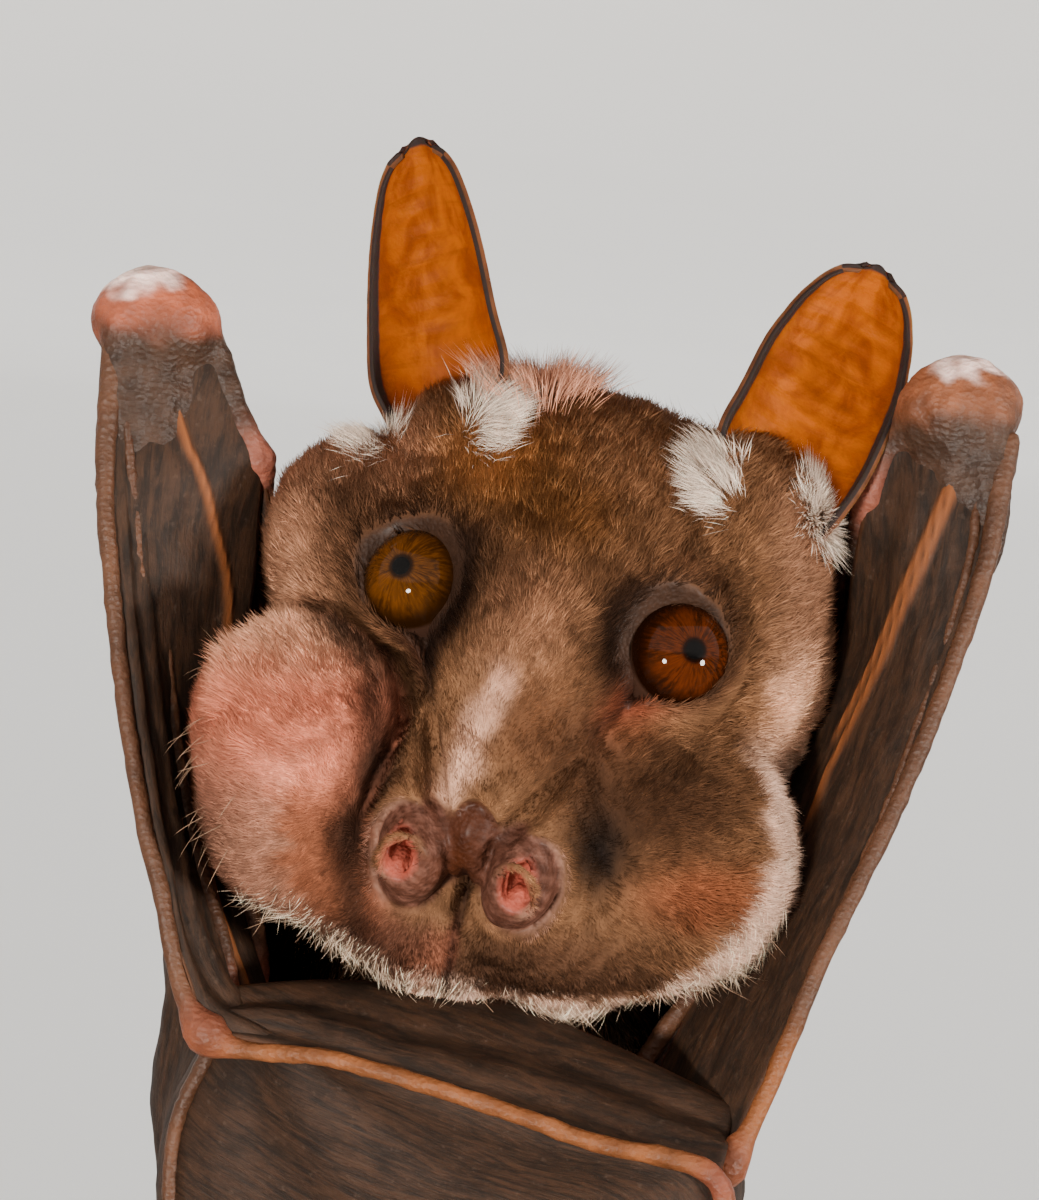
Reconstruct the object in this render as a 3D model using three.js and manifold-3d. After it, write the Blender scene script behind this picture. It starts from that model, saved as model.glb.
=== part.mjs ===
// An epauletted fruit bat hanging by its feet from a short perch on a display stand, life size.
//
// The bat is drawn head up, face towards -Y, and its group is then turned over, to hang.
// Millimetres. In the bat's own frame X runs to its left, Y to its back and Z to its crown,
// and the origin lies between the eyes, a little behind the face.
// The flesh solids reach out to the tips of the coat.

import * as THREE from 'three';
import { mergeVertices } from 'three/addons/utils/BufferGeometryUtils.js';
import Module from 'manifold-3d';

const wasm = await Module();
wasm.setup();

// ---------------------------------------------------------------- driving sizes

const GAP = 0.45;           // clearance between neighbouring solids
const SMOOTHING = 0.16;     // how far a solid's skin may be drawn flat
const HEAD_DETAIL = 5;      // how finely the ball is divided that the head is drawn from
const LEAN = 7;             // degrees that the trunk leans in the bat's own frame
const HEAD_TURN = { yaw: -10.4, pitch: 37.1, roll: 9.1 };   // degrees
const HEAD_AT = [2.1, 0, -2.4];

const EYE_R = 4.9;
const EYE_AT = [10.75, 0.2, 0.7];       // in the head's frame, mirrored for the other eye
const EYE_OPENS = [0.3, -0.65, 0.7];    // the way the lids open
const EAR_THICK = 0.9;
const SKIN_THICK = 0.7;                 // wing membrane

const BASE_R = 78;
const BASE_H = 12;
const HEAD_ROOM = 66;                   // from the base's top to the bat's origin
const ROD_R = 2.6;
const ROD_AT = 63;                      // half the distance between the two rods
const ROD_SUNK = 6;                     // depth of the rods' holes in the base
const PERCH_R = 6.2;
const PERCH_HALF = 72;
const PERCH_AT = { y: 33, z: -134 };    // in the bat's frame, before the lean

// ---------------------------------------------------------------- small helpers

const v = (x, y, z) => new THREE.Vector3(x, y, z);
const vec = (p) => (p.isVector3 ? p.clone() : v(...p));
const rad = THREE.MathUtils.degToRad;
const mix = THREE.MathUtils.lerp;

/** The trunk's middle line at height z, as an x. */
const midline = (z) => 1 + (z + 22) * Math.tan(rad(LEAN));

/** Reads a table of [position, value...] rows at a position, smoothly. */
function station(rows, at) {
  let i = 0;
  while (i < rows.length - 2 && (at - rows[i + 1][0]) * Math.sign(rows[1][0] - rows[0][0]) > 0) i += 1;
  const share = THREE.MathUtils.clamp((at - rows[i][0]) / (rows[i + 1][0] - rows[i][0]), 0, 1);
  const t = share * share * (3 - 2 * share);
  return rows[i].slice(1).map((value, k) => mix(value, rows[i + 1][k + 1], t));
}

// ---------------------------------------------------------------- rounded fields

/** The distance to an ellipsoid's skin, nearly: below 0 inside. */
const ellipsoid = (centre, radii) => {
  const c = vec(centre);
  const r = vec(radii);
  return (p) => {
    const q = p.clone().sub(c).divide(r);
    const k = q.length();
    return k < 1e-6 ? -Math.min(...radii) : (k * (k - 1)) / q.divide(r).length();
  };
};

const cone = (from, fromR, to, toR) => {
  const a = vec(from);
  const axis = vec(to).sub(a);
  return (p) => {
    const q = p.clone().sub(a);
    const t = THREE.MathUtils.clamp(q.dot(axis) / axis.lengthSq(), 0, 1);
    return q.addScaledVector(axis, -t).length() - mix(fromR, toR, t);
  };
};

/** Joins fields with a soft fillet. */
const blend = (soft, ...fields) => (p) => fields.reduce((a, field) => {
  const b = field(p);
  const h = Math.max(soft - Math.abs(a - b), 0) / soft;
  return Math.min(a, b) - (h * h * soft) / 4;
}, 1e3);

const bothSides = (make, [x, y, z], radii) => [-1, 1].map((s) => make([s * x, y, z], radii));

// ---------------------------------------------------------------- solids

function solidOf(positions, triangles) {
  const corner = (i) => v(positions[3 * i], positions[3 * i + 1], positions[3 * i + 2]);
  let volume = 0;
  for (let i = 0; i < triangles.length; i += 3) {
    volume += corner(triangles[i]).dot(corner(triangles[i + 1]).cross(corner(triangles[i + 2])));
  }
  const order = volume < 0 ? [0, 2, 1] : [0, 1, 2];
  const turned = triangles.map((_, i) => triangles[i - (i % 3) + order[i % 3]]);
  return new wasm.Manifold(new wasm.Mesh({
    numProp: 3,
    vertProperties: new Float32Array(positions),
    triVerts: new Uint32Array(turned),
  }));
}

function solidFrom(geometry) {
  const bare = geometry.clone();
  bare.deleteAttribute('normal');
  bare.deleteAttribute('uv');
  const merged = mergeVertices(bare, 1e-4);
  const at = merged.attributes.position.array;
  const index = Array.from(merged.index.array);
  const kept = [];
  for (let i = 0; i < index.length; i += 3) {
    const [a, b, c] = index.slice(i, i + 3);
    if (a !== b && b !== c && c !== a) kept.push(a, b, c);
  }
  return solidOf(Array.from(at), kept);
}

/** The point where a ray, followed inwards from its reach, meets the field's value grow. */
function onSkin(field, from, direction, grow, reach) {
  const ray = direction.clone().normalize();
  let t = reach;
  for (let step = 0; step < 90; step += 1) {
    const d = field(from.clone().addScaledVector(ray, t)) - grow;
    t -= d * 0.6;
    if (Math.abs(d) < 0.003 || t < 0.2) break;
  }
  return from.clone().addScaledVector(ray, t);
}

/** A ball whose skin is drawn in, along its rays, to the field's skin. */
function blob(field, centre, detail, grow = 0, reach = 60) {
  const c = vec(centre);
  const ball = new THREE.IcosahedronGeometry(1, detail);
  const at = ball.attributes.position;
  for (let i = 0; i < at.count; i += 1) {
    at.setXYZ(i, ...onSkin(field, c, v(at.getX(i), at.getY(i), at.getZ(i)), grow, reach).toArray());
  }
  return solidFrom(ball);
}

/** Rings about an axis, drawn in to the field's skin: for long rounded bodies. */
function rounded(field, from, to, { sides, count, grow = 0, reach = 50 }) {
  const axis = vec(to).sub(vec(from)).normalize();
  const first = onSkin(field, vec(from), axis.clone().negate(), grow, reach);
  const last = onSkin(field, vec(to), axis, grow, reach);
  const across = v(1, 0, 0).addScaledVector(axis, -axis.x).normalize();
  const up = axis.clone().cross(across);
  const loops = [];
  for (let i = 1; i < count; i += 1) {
    const centre = first.clone().lerp(last, (1 - Math.cos((Math.PI * i) / count)) / 2);
    loops.push(Array.from({ length: sides }, (_, k) => {
      const turn = (2 * Math.PI * k) / sides;
      const way = across.clone().multiplyScalar(Math.cos(turn)).addScaledVector(up, Math.sin(turn));
      return onSkin(field, centre, way, grow, reach);
    }));
  }
  return rings(loops, first, last);
}

/** Joins rings of equal count into a closed skin with a point at each end. */
function rings(loops, first, last) {
  const n = loops[0].length;
  const points = [first, ...loops.flat(), last];
  const triangles = [];
  for (let k = 0; k < n; k += 1) {
    const next = (k + 1) % n;
    triangles.push(0, 1 + next, 1 + k);
    for (let i = 0; i < loops.length - 1; i += 1) {
      const a = 1 + i * n + k;
      const b = 1 + i * n + next;
      triangles.push(a, b, a + n, b, b + n, a + n);
    }
    const end = 1 + (loops.length - 1) * n;
    triangles.push(end + k, end + next, points.length - 1);
  }
  return solidOf(points.flatMap((p) => p.toArray()), triangles);
}

/**
 * A round-ended limb on a curve through the points: a ring at each, and fine - 1 rings between two.
 * The radii are spread evenly along the points; flat squeezes the limb across its side.
 */
function limb(points, radii, { sides = 6, fine = 2, flat = 1, side = v(1, 0, 0), grow = 0 } = {}) {
  const curve = new THREE.CatmullRomCurve3(points.map(vec), false, 'centripetal');
  const across = side.clone();
  const loops = [];
  const ring = (centre, tangent, r) => {
    across.addScaledVector(tangent, -across.dot(tangent)).normalize();
    const up = tangent.clone().cross(across);
    loops.push(Array.from({ length: sides }, (_, k) => {
      const turn = (2 * Math.PI * k) / sides;
      return centre.clone()
        .addScaledVector(across, Math.cos(turn) * (r + grow))
        .addScaledVector(up, Math.sin(turn) * (r * flat + grow));
    }));
  };
  const steps = (points.length - 1) * fine;
  const ends = [];
  for (let i = 0; i <= steps; i += 1) {
    const u = i / steps;
    const centre = curve.getPoint(u);
    const tangent = curve.getTangent(u);
    const place = u * (radii.length - 1);
    const k = Math.min(Math.floor(place), radii.length - 2);
    const r = mix(radii[k], radii[k + 1], place - k);
    const outward = i === 0 ? -1 : 1;
    const beyondEnd = (reach) => centre.clone().addScaledVector(tangent, outward * reach);
    const round = () => ring(beyondEnd(r * 0.45), tangent, r * 0.72);
    if (i === 0) round();
    ring(centre, tangent, r);
    if (i === steps) round();
    if (i === 0 || i === steps) ends.push(beyondEnd(r * 0.8 + grow));
  }
  return rings(loops, ...ends);
}

/** A thin shell about a grid of points, rows[i][j]. Growing thickens and widens it. */
function shell(rows, thick, grow) {
  const m = rows.length;
  const n = rows[0].length;
  const at = (i, j) => rows[THREE.MathUtils.clamp(i, 0, m - 1)][THREE.MathUtils.clamp(j, 0, n - 1)];
  const atEdge = (i, last) => (i === 0 ? -grow : 0) + (i === last ? grow : 0);
  const points = [];
  const side = (s) => rows.forEach((row, i) => row.forEach((p, j) => {
    const du = at(i + 1, j).clone().sub(at(i - 1, j)).normalize();
    const dv = at(i, j + 1).clone().sub(at(i, j - 1)).normalize();
    points.push(p.clone()
      .addScaledVector(du.clone().cross(dv).normalize(), s * (thick / 2 + grow))
      .addScaledVector(du, atEdge(i, m - 1))
      .addScaledVector(dv, atEdge(j, n - 1)));
  }));
  side(1);
  side(-1);
  const low = m * n;
  const triangles = [];
  for (let i = 0; i < m - 1; i += 1) {
    for (let j = 0; j < n - 1; j += 1) {
      const [a, b, c, d] = [i * n + j, i * n + j + 1, (i + 1) * n + j + 1, (i + 1) * n + j];
      triangles.push(a, b, c, a, c, d, low + a, low + c, low + b, low + a, low + d, low + c);
    }
  }
  const edge = [];
  for (let j = 0; j < n - 1; j += 1) edge.push(j);
  for (let i = 0; i < m - 1; i += 1) edge.push(i * n + n - 1);
  for (let j = n - 1; j > 0; j -= 1) edge.push((m - 1) * n + j);
  for (let i = m - 1; i > 0; i -= 1) edge.push(i * n);
  edge.forEach((a, k) => {
    const b = edge[(k + 1) % edge.length];
    triangles.push(a, low + a, b, b, low + a, low + b);
  });
  return solidOf(points.flatMap((p) => p.toArray()), triangles);
}

// ---------------------------------------------------------------- the head

const headPose = new THREE.Matrix4()
  .makeRotationY(rad(HEAD_TURN.roll))
  .multiply(new THREE.Matrix4().makeRotationX(rad(HEAD_TURN.pitch)))
  .multiply(new THREE.Matrix4().makeRotationZ(rad(HEAD_TURN.yaw)))
  .setPosition(...HEAD_AT);
const headUnpose = headPose.clone().invert();
const fromHead = (p) => vec(p).applyMatrix4(headPose);
const inHead = (field) => (p) => field(p.clone().applyMatrix4(headUnpose));

const skull = inHead(blend(
  4,
  ellipsoid([0, 10, 1], [16.2, 17.5, 12]),
  ...bothSides(ellipsoid, [11.5, 14, 4.5], [6.5, 6.5, 7]),
  ellipsoid([0, -2, 1], [8.5, 10, 7.5]),
  ...bothSides(ellipsoid, [9, 3, 0.4], [5.8, 6, 6.2]),
  cone([-0.6, -4, -2.5], 8, [-0.4, -12.5, -7.8], 6.3),
  ...bothSides(ellipsoid, [3.9, -12.4, -9.6], [5.3, 8, 7.6]),
  ...bothSides(ellipsoid, [6, -13, -12], [4.4, 6.4, 5.6]),
  ...bothSides(ellipsoid, [10.5, 1, -9], [6.5, 10, 7.5]),
));
const nosePads = inHead(blend(
  1,
  ...bothSides(ellipsoid, [4.3, -18.2, -11.4], [3.2, 4, 4.4]),
  ellipsoid([0, -17.8, -10.6], [2.2, 3.4, 4.2]),
));
const lips = inHead(blend(2, ...bothSides(ellipsoid, [4.8, -13.2, -16.8], [5.7, 7, 6.6])));
const jaw = inHead(cone([0, 4, -16], 8.6, [0, -14.2, -23], 5.4));
const otherCheek = ellipsoid([13.4, 2.6, -21], [10.2, 10.8, 11.2]);
const throat = ellipsoid([3.5, 5, -24.6], [9.5, 9, 10.4]);
const temples = [
  ellipsoid([19, 9, -1.5], [7.6, 8.5, 15.5]),
  ellipsoid([-14.5, 8, 4], [7.2, 8, 10]),
];
const cheeks = blend(6, lips, otherCheek, throat);
const face = blend(1.5, blend(3, blend(5, skull, ...temples), cheeks, jaw), nosePads);

const FULL_CHEEK_AT = [-18.6, -3, -12.5];
const fullCheek = blend(
  4,
  ellipsoid([-18, -3, -9.4], [8.9, 9.6, 8.9]),
  ellipsoid([-19.3, -2.6, -15.5], [7.1, 9.2, 9]),
  cone([-18.6, -2, -19.5], 6, [-8.8, 1, -26.4], 5.6),
);

function ear(side, grow) {
  // Frame of one ear in the bat's frame: from its root towards the tip, across it, and out of its hollow.
  const root = fromHead([side < 0 ? -13.3 : 14.2, 15.5, 7]);
  const tip = side < 0 ? v(-9.2, 13, 40.4) : v(31, 12, 29.6);
  const along = tip.clone().sub(root);
  const length = along.length();
  along.normalize();
  const out = side < 0 ? v(-0.42, -1, 0.1) : v(0.1, -1, 0.1);
  out.addScaledVector(along, -out.dot(along)).normalize();
  const across = along.clone().cross(out).multiplyScalar(-side);   // towards the crown
  const width = [
    [0, 4.2], [0.12, 5.3], [0.32, 6.2], [0.52, 6.2], [0.72, 5.5], [0.87, 4.3], [0.96, 2.9], [1, 1.3],
  ];
  const rows = [];
  const count = 9;
  const columns = 6;
  for (let i = 0; i < count; i += 1) {
    const s = i / (count - 1);
    const [half] = station(width, s);
    const curl = mix(1.25, 0.55, s);          // how far each edge turns forward, in radians
    const row = [];
    for (let j = 0; j < columns; j += 1) {
      const t = (2 * j) / (columns - 1) - 1;
      const sideways = (Math.sin(t * curl) / Math.sin(curl)) * half;
      const forward = ((1 - Math.cos(t * curl)) / Math.sin(curl)) * half - 1.2;
      const lift = s * length * (1 - 0.05 * t * t);
      row.push(root.clone().addScaledVector(along, lift - 1.5)
        .addScaledVector(across, sideways).addScaledVector(out, forward));
    }
    rows.push(row);
  }
  return shell(rows, EAR_THICK, grow);
}

// ---------------------------------------------------------------- neck and trunk

const bodyField = blend(
  8,
  ellipsoid([3.2, 21, 0.5], [25.6, 13.2, 16.2]),
  ellipsoid([1.5, 24, 9], [10.6, 9.2, 10.6]),
  ellipsoid([0.5, 26, -16], [21.6, 14.6, 13]),
  ellipsoid([midline(-42), 28.5, -42], [20.6, 15, 25]),
  ellipsoid([midline(-68), 30.5, -68], [16.4, 13.8, 27]),
  ellipsoid([midline(-88), 31, -88], [9.5, 9.5, 13]),
);
const NECK_ENDS = -24;
const bodyEnds = [[2, 23, 8], [midline(-92), 31, -92]];
const body = (g) => rounded(bodyField, ...bodyEnds, { sides: 16, count: 18, grow: g });

// ---------------------------------------------------------------- wings

// Landmarks of each wing. The bat's right wing is side -1.
const WING = {
  [-1]: {
    shoulder: [-14, 25, -20], elbow: [-15, 44, -53], wrist: [-30.4, 6, 22.6],
    three: [
      [-33.4, 3.5, 21.4], [-34.1, 1.5, 10], [-33.3, 0, 0], [-31.8, -1.5, -12], [-29.5, -3, -23],
      [-25.5, -4, -35.3],
    ],
    threeOn: [[-15, -7.5, -37.2], [-3, -9.5, -40.6], [5.5, -9.8, -43.6], [16.2, -9, -47.2]],
    threeEnd: [[14, -8, -58], [6, -5, -76], [-2, -1, -93]],
    four: [[-30.6, 4.5, 19], [-29.8, 3.5, 2], [-27.4, 3, -18], [-24, 2.6, -33]],
    fourEnd: [[-28.4, 3.5, -44], [-28.2, 6, -60], [-22, 8, -82], [-15.5, 10, -99]],
    five: [[-28.3, 7, 18], [-27.3, 7.5, 2], [-24.8, 8, -16], [-21.8, 8.6, -31.5]],
    fiveEnd: [[-27.5, 13, -45], [-28, 18, -62], [-22.5, 22, -84], [-18.5, 25, -101]],
    two: [[-31.8, 2.4, 20.5], [-33, 0.2, 8], [-32.4, -1.6, -3], [-30.4, -3.2, -14], [-27.8, -4.8, -24]],
    thumb: [[-26.4, 7, 23], [-23.6, 6.8, 16], [-21.6, 7.6, 11.6]],
    thumbTip: [[-21.6, 11.5, 8], [-22.4, 14.6, 4.6]],
  },
  [1]: {
    shoulder: [14, 25, -21], elbow: [12, 47, -51], wrist: [36.6, 6, 15.2],
    three: [
      [40.2, 3.5, 13], [38.5, 1.5, 3.5], [35.3, 0, -6], [31, -1.5, -16.5], [25.1, -3, -28.5],
      [16.8, -4, -46],
    ],
    threeOn: [[9, -2.6, -52], [0, -0.2, -57], [-9, 2.4, -62], [-17.5, 5.4, -67]],
    threeEnd: [[-19, 8, -75], [-17, 11, -87], [-14, 14, -99]],
    four: [[37, 4.5, 11.6], [32.6, 3.9, -5], [25, 3.8, -24], [13.5, 4.4, -43.6]],
    fourEnd: [[11.5, 6.8, -54], [7.5, 9.6, -67], [0, 13, -84], [-5.5, 17, -99]],
    five: [[35, 7, 10.6], [30.6, 7.5, -5], [22.4, 8, -23], [9.6, 8.8, -41]],
    fiveEnd: [[14, 12.5, -53], [13.8, 17.5, -67], [6.5, 22.5, -85], [-0.5, 28, -101]],
    two: [[38.4, 2.4, 13.4], [37.2, 0, 2], [34.4, -1.8, -8], [30.4, -3.4, -18], [25.8, -5, -27]],
    thumb: [[33, 7, 15.6], [30.8, 7.2, 12.5], [29.2, 8, 8.8]],
    thumbTip: [[28.2, 11, 4.5], [28, 13, 0]],
  },
};

const sideName = (side) => (side < 0 ? 'right' : 'left');

/** A grid of points between two curves, with a belly pushed out by sag. */
function between(from, to, rows, columns, sag, trim = [0, 1]) {
  const a = new THREE.CatmullRomCurve3(from.map(vec), false, 'centripetal');
  const b = new THREE.CatmullRomCurve3(to.map(vec), false, 'centripetal');
  return Array.from({ length: rows }, (_, i) => {
    const across = i / (rows - 1);
    return Array.from({ length: columns }, (__, j) => {
      const along = mix(trim[0], trim[1], j / (columns - 1));
      const bulge = Math.sin(Math.PI * across) * Math.sin(Math.PI * Math.min(1, along * 1.25));
      return a.getPointAt(along).lerp(b.getPointAt(along), across).addScaledVector(sag, bulge);
    });
  });
}

const shifted = (point, shift) => vec(point).add(v(...shift));
/** A point on the way from one landmark to another. */
const toward = (from, to, share, shift = [0, 0, 0]) => shifted(vec(from).lerp(vec(to), share), shift);

function wingParts(s) {
  const w = WING[s];
  const three = [...w.three, ...w.threeOn, ...w.threeEnd];
  const four = [...w.four, ...w.fourEnd];
  const five = [...w.five, ...w.fiveEnd];
  const flank = [v(midline(-78) + s * 15, 34, -78), v(midline(-104) + s * 9, 37, -106)];
  const arm = [w.wrist, toward(w.wrist, w.elbow, 0.5), w.elbow, ...flank];
  const palm = [shifted(w.wrist, [-s * 3.2, 0.6, 0.6]), w.wrist, shifted(w.wrist, [s * 3, -0.8, -1.4])];
  const chest = [shifted(w.shoulder, [s * 5, -10, 17]), shifted(w.shoulder, [s, -2, 4])];
  const upward = v(0, 0, 1);
  const web = (from, to, rows, columns, sag, trim) => (g) => shell(
    between(from, to, rows, columns, sag, trim),
    SKIN_THICK,
    g,
  );
  const bone = (points, radii, shape = {}) => (g) => limb(points, radii, { sides: 5, grow: g, ...shape });
  const thirdRadii = [1.3, 1, 0.95, 0.95, 1.05, 2.05, 1.05, 0.95, 1, 1.15, 0.75, 0.6, 0.45];
  return {
    wrist: bone(palm, [3.2, 4.3, 3.3], { sides: 7, side: upward }),
    forearm: bone(
      [w.wrist, toward(w.wrist, w.elbow, 0.5, [s * 0.8, 1, 0]), w.elbow],
      [2, 1.7, 2, 2.7, 3.2],
      { sides: 6, fine: 3 },
    ),
    upper_arm: bone(
      [w.shoulder, toward(w.shoulder, w.elbow, 0.5, [s * 1.5, 1, 0]), w.elbow],
      [6.5, 5.5, 3.6],
      { sides: 6, fine: 1 },
    ),
    thumb: bone([...w.thumb, ...w.thumbTip], [1.9, 1.4, 1.8, 1.25, 1.05], { fine: 1 }),
    finger_3: bone(three, thirdRadii, { fine: 1 }),
    finger_4: bone(four, [1.3, 0.9, 0.9, 1.2, 0.9, 0.75, 0.55, 0.4], { fine: 1 }),
    finger_5: bone(five, [1.3, 0.9, 0.9, 1.2, 0.9, 0.75, 0.55, 0.4], { fine: 1 }),
    finger_2: bone(w.two, [1, 0.75, 0.85, 0.6, 0.45], { fine: 1 }),
    web_3_4: web(three, four, 4, 12, v(0, s < 0 ? -1.5 : 1, 0), [0.03, 0.995]),
    web_4_5: web(four, five, 3, 8, v(s * 1.6, 1, 0), [0.03, 0.995]),
    arm_web: web(five, arm, 5, 9, v(s < 0 ? -9.4 : 7, 1, 0), [0.03, 0.97]),
    shoulder_web: web(
      [...w.thumb, ...chest],
      [w.wrist, toward(w.wrist, w.elbow, 0.4), toward(w.wrist, w.elbow, 0.75)],
      3,
      6,
      v(s * 0.8, 0, 0),
      [0.04, 1],
    ),
  };
}

// ---------------------------------------------------------------- claws, legs and feet

/** A curved claw: it starts at root, runs along dir and bends towards bend. */
function claw(root, dir, bend, length, r, grow) {
  const a = vec(root);
  const along = vec(dir).normalize();
  const down = vec(bend).normalize();
  const points = [0, 0.4, 0.75, 1].map((t) => a.clone()
    .addScaledVector(along, length * t * (1 - 0.35 * t))
    .addScaledVector(down, length * 0.62 * t * t));
  return limb(points, [r, r * 0.85, r * 0.55, 0.22], { sides: 3, fine: 1, grow });
}

const perchPoint = (offset) => {
  const z = PERCH_AT.z + offset * Math.sin(rad(-LEAN));
  return v(midline(PERCH_AT.z) + offset * Math.cos(rad(LEAN)), PERCH_AT.y, z);
};

function legParts(side) {
  const lean = Math.tan(rad(LEAN));
  const place = (x, y, z) => v(midline(z) + side * x, y, z - side * x * lean);
  const hip = place(7, 30, -86);
  const knee = place(14.5, 39, -98);
  const ankle = place(8, 41, -121);
  const grip = perchPoint(side * 9);
  const toeGap = 2.5;
  const reach = PERCH_R + 1.5;
  const around = (k, turn, extra = 0) => grip.clone()
    .add(v((k - 2) * toeGap * Math.cos(rad(LEAN)), 0, -(k - 2) * toeGap * Math.sin(rad(LEAN))))
    .add(v(0, Math.cos(rad(turn)) * (reach + extra), Math.sin(rad(turn)) * (reach + extra)));
  const parts = {
    thigh: (g) => limb([hip, knee], [6, 5, 3.6], { grow: g }),
    shank: (g) => limb([knee, ankle], [3.2, 2.3, 1.9], { fine: 3, grow: g }),
    foot: (g) => {
      const middle = [ankle, around(2, 35, 1.2), around(2, -2, 0.5)];
      const palm = limb(middle, [1.9, 2.3, 2.6], { fine: 1, flat: 0.8, grow: g });
      const toes = [0, 1, 2, 3, 4].map((k) => limb(
        [around(2, 0), around(k, -30), around(k, -65), around(k, -105)],
        [1.3, 1.15, 1.1, 1.15],
        { sides: 4, fine: 1, grow: g },
      ));
      return wasm.Manifold.union([palm, ...toes]);
    },
  };
  for (let k = 0; k < 5; k += 1) {
    const root = around(k, -112, 0.1);
    const ahead = around(k, -145, 0).sub(root);
    const inward = grip.clone().sub(root).setX(0).setLength(1).add(v(0, -0.5, 1.3));
    parts[`toe_claw_${k + 1}`] = (g) => claw(root, ahead, inward, 5.4, 0.95, g);
  }
  return parts;
}

// ---------------------------------------------------------------- colours and assembly

const COLOURS = {
  coat: [0x8a6a52, 0.9], face: [0x7c5f4b, 0.9], cheek: [0xb98373, 0.85], lip: [0x7a4b3f, 0.7],
  ear: [0xb5651d, 0.6], eye: [0x4a2409, 0.08], skin: [0x4a3a33, 0.55], finger: [0x8d5a3c, 0.5],
  horn: [0x2c2622, 0.35], bark: [0x6b543e, 0.95], wood: [0x5b3b25, 0.5], rod: [0x9a9da0, 0.3],
};

const bat = new THREE.Group();
const stand = new THREE.Group();
const placed = [];

function addMesh(group, name, solid, kind) {
  const mesh = solid.getMesh();
  const geometry = new THREE.BufferGeometry();
  geometry.setAttribute('position', new THREE.BufferAttribute(new Float32Array(mesh.vertProperties), 3));
  geometry.setIndex(new THREE.BufferAttribute(new Uint32Array(mesh.triVerts), 1));
  if (group === stand) geometry.applyMatrix4(bat.matrix);
  const [color, roughness] = COLOURS[kind];
  const made = new THREE.Mesh(geometry, new THREE.MeshStandardMaterial({
    color, roughness, metalness: kind === 'rod' ? 1 : 0,
  }));
  made.name = name;
  group.add(made);
}

const touches = (a, b) => [0, 1, 2].every((k) => a.min[k] <= b.max[k] && b.min[k] <= a.max[k]);

/**
 * Adds a piece, cut clear of every piece added before it, and keeps its largest body.
 * Every piece is built in the bat's frame; those of the stand are then brought into the model's.
 */
function place(name, kind, build, { cut = null, group = bat } = {}) {
  let solid = build(0);
  if (cut) solid = cut(solid);
  const box = solid.boundingBox();
  const near = placed.filter((other) => touches(box, other.box)).map((other) => other.grown());
  if (near.length) solid = solid.subtract(wasm.Manifold.union(near));
  const bodies = solid.asOriginal().simplify(SMOOTHING).decompose();
  [solid] = bodies.sort((a, b) => b.volume() - a.volume());
  placed.push({ box: solid.boundingBox(), grown: () => (cut ? cut(build(GAP), GAP) : build(GAP)) });
  addMesh(group, name, solid, kind);
}

// Eyes first, as everything round them gives way.
for (const side of [-1, 1]) {
  const centre = fromHead([side * EYE_AT[0], EYE_AT[1], EYE_AT[2]]);
  const eyeball = (p) => p.distanceTo(centre) - EYE_R;
  place(`eye_${sideName(side)}`, 'eye', (g) => blob(eyeball, centre, 2, g, 12));
}

// The snout and the lower jaw are parted from the head by thin cuts.
const FAR = 80;
function beyond(point, normal, offset) {
  const slab = new THREE.BoxGeometry(2 * FAR, 2 * FAR, 2 * FAR);
  slab.translate(0, 0, FAR + offset);
  slab.applyQuaternion(new THREE.Quaternion().setFromUnitVectors(v(0, 0, 1), vec(normal).normalize()));
  slab.translate(...vec(point).toArray());
  return solidFrom(slab);
}
const turned = (n) => vec(n).transformDirection(headPose);
const mouth = { at: fromHead([0, -14, -22.4]), up: turned([0, -0.24, 1]) };
const snoutCut = { at: fromHead([0, -9, -8]), front: turned([0, -1, -0.15]) };
const headCentre = fromHead([0, -3, -8]);
const ball = (centre, r) => blob((p) => p.distanceTo(centre) - r, centre, 1, 0, 4 * r);
const eyeOpenings = (g) => wasm.Manifold.union([-1, 1].map((s) => {
  const opens = turned([s * EYE_OPENS[0], EYE_OPENS[1], EYE_OPENS[2]]);
  return ball(fromHead([s * EYE_AT[0], EYE_AT[1], EYE_AT[2]]).addScaledVector(opens, 4.4), 5.1 - g);
}));
const nostril = (side, g) => ball(fromHead([side * 4.8, -21.8, -9.8]), 1.5 - g);
const nostrils = (g) => nostril(-1, g).add(nostril(1, g));

const wholeHead = (g) => blob(face, headCentre, HEAD_DETAIL, g);
place('lower_jaw', 'lip', wholeHead, {
  cut: (solid, g = 0) => solid
    .intersect(beyond(mouth.at, mouth.up.clone().negate(), -g))
    .intersect(beyond(fromHead([0, 2, 0]), turned([0, -1, 0]), -g)),
});
place('snout', 'lip', wholeHead, {
  cut: (solid, g = 0) => solid
    .intersect(beyond(snoutCut.at, snoutCut.front, -g))
    .intersect(beyond(mouth.at, mouth.up, -g))
    .subtract(nostrils(g)),
});
place('head', 'face', wholeHead, { cut: (solid, g = 0) => solid.subtract(eyeOpenings(g)) });
place('cheek_right', 'cheek', (g) => blob(fullCheek, FULL_CHEEK_AT, 3, g, 30));
for (const side of [-1, 1]) place(`ear_${sideName(side)}`, 'ear', (g) => ear(side, g));
place('neck', 'coat', body, {
  cut: (solid, g = 0) => solid.intersect(beyond(v(0, 0, NECK_ENDS), v(0, 0, 1), -g)),
});
place('trunk', 'coat', body);

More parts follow.
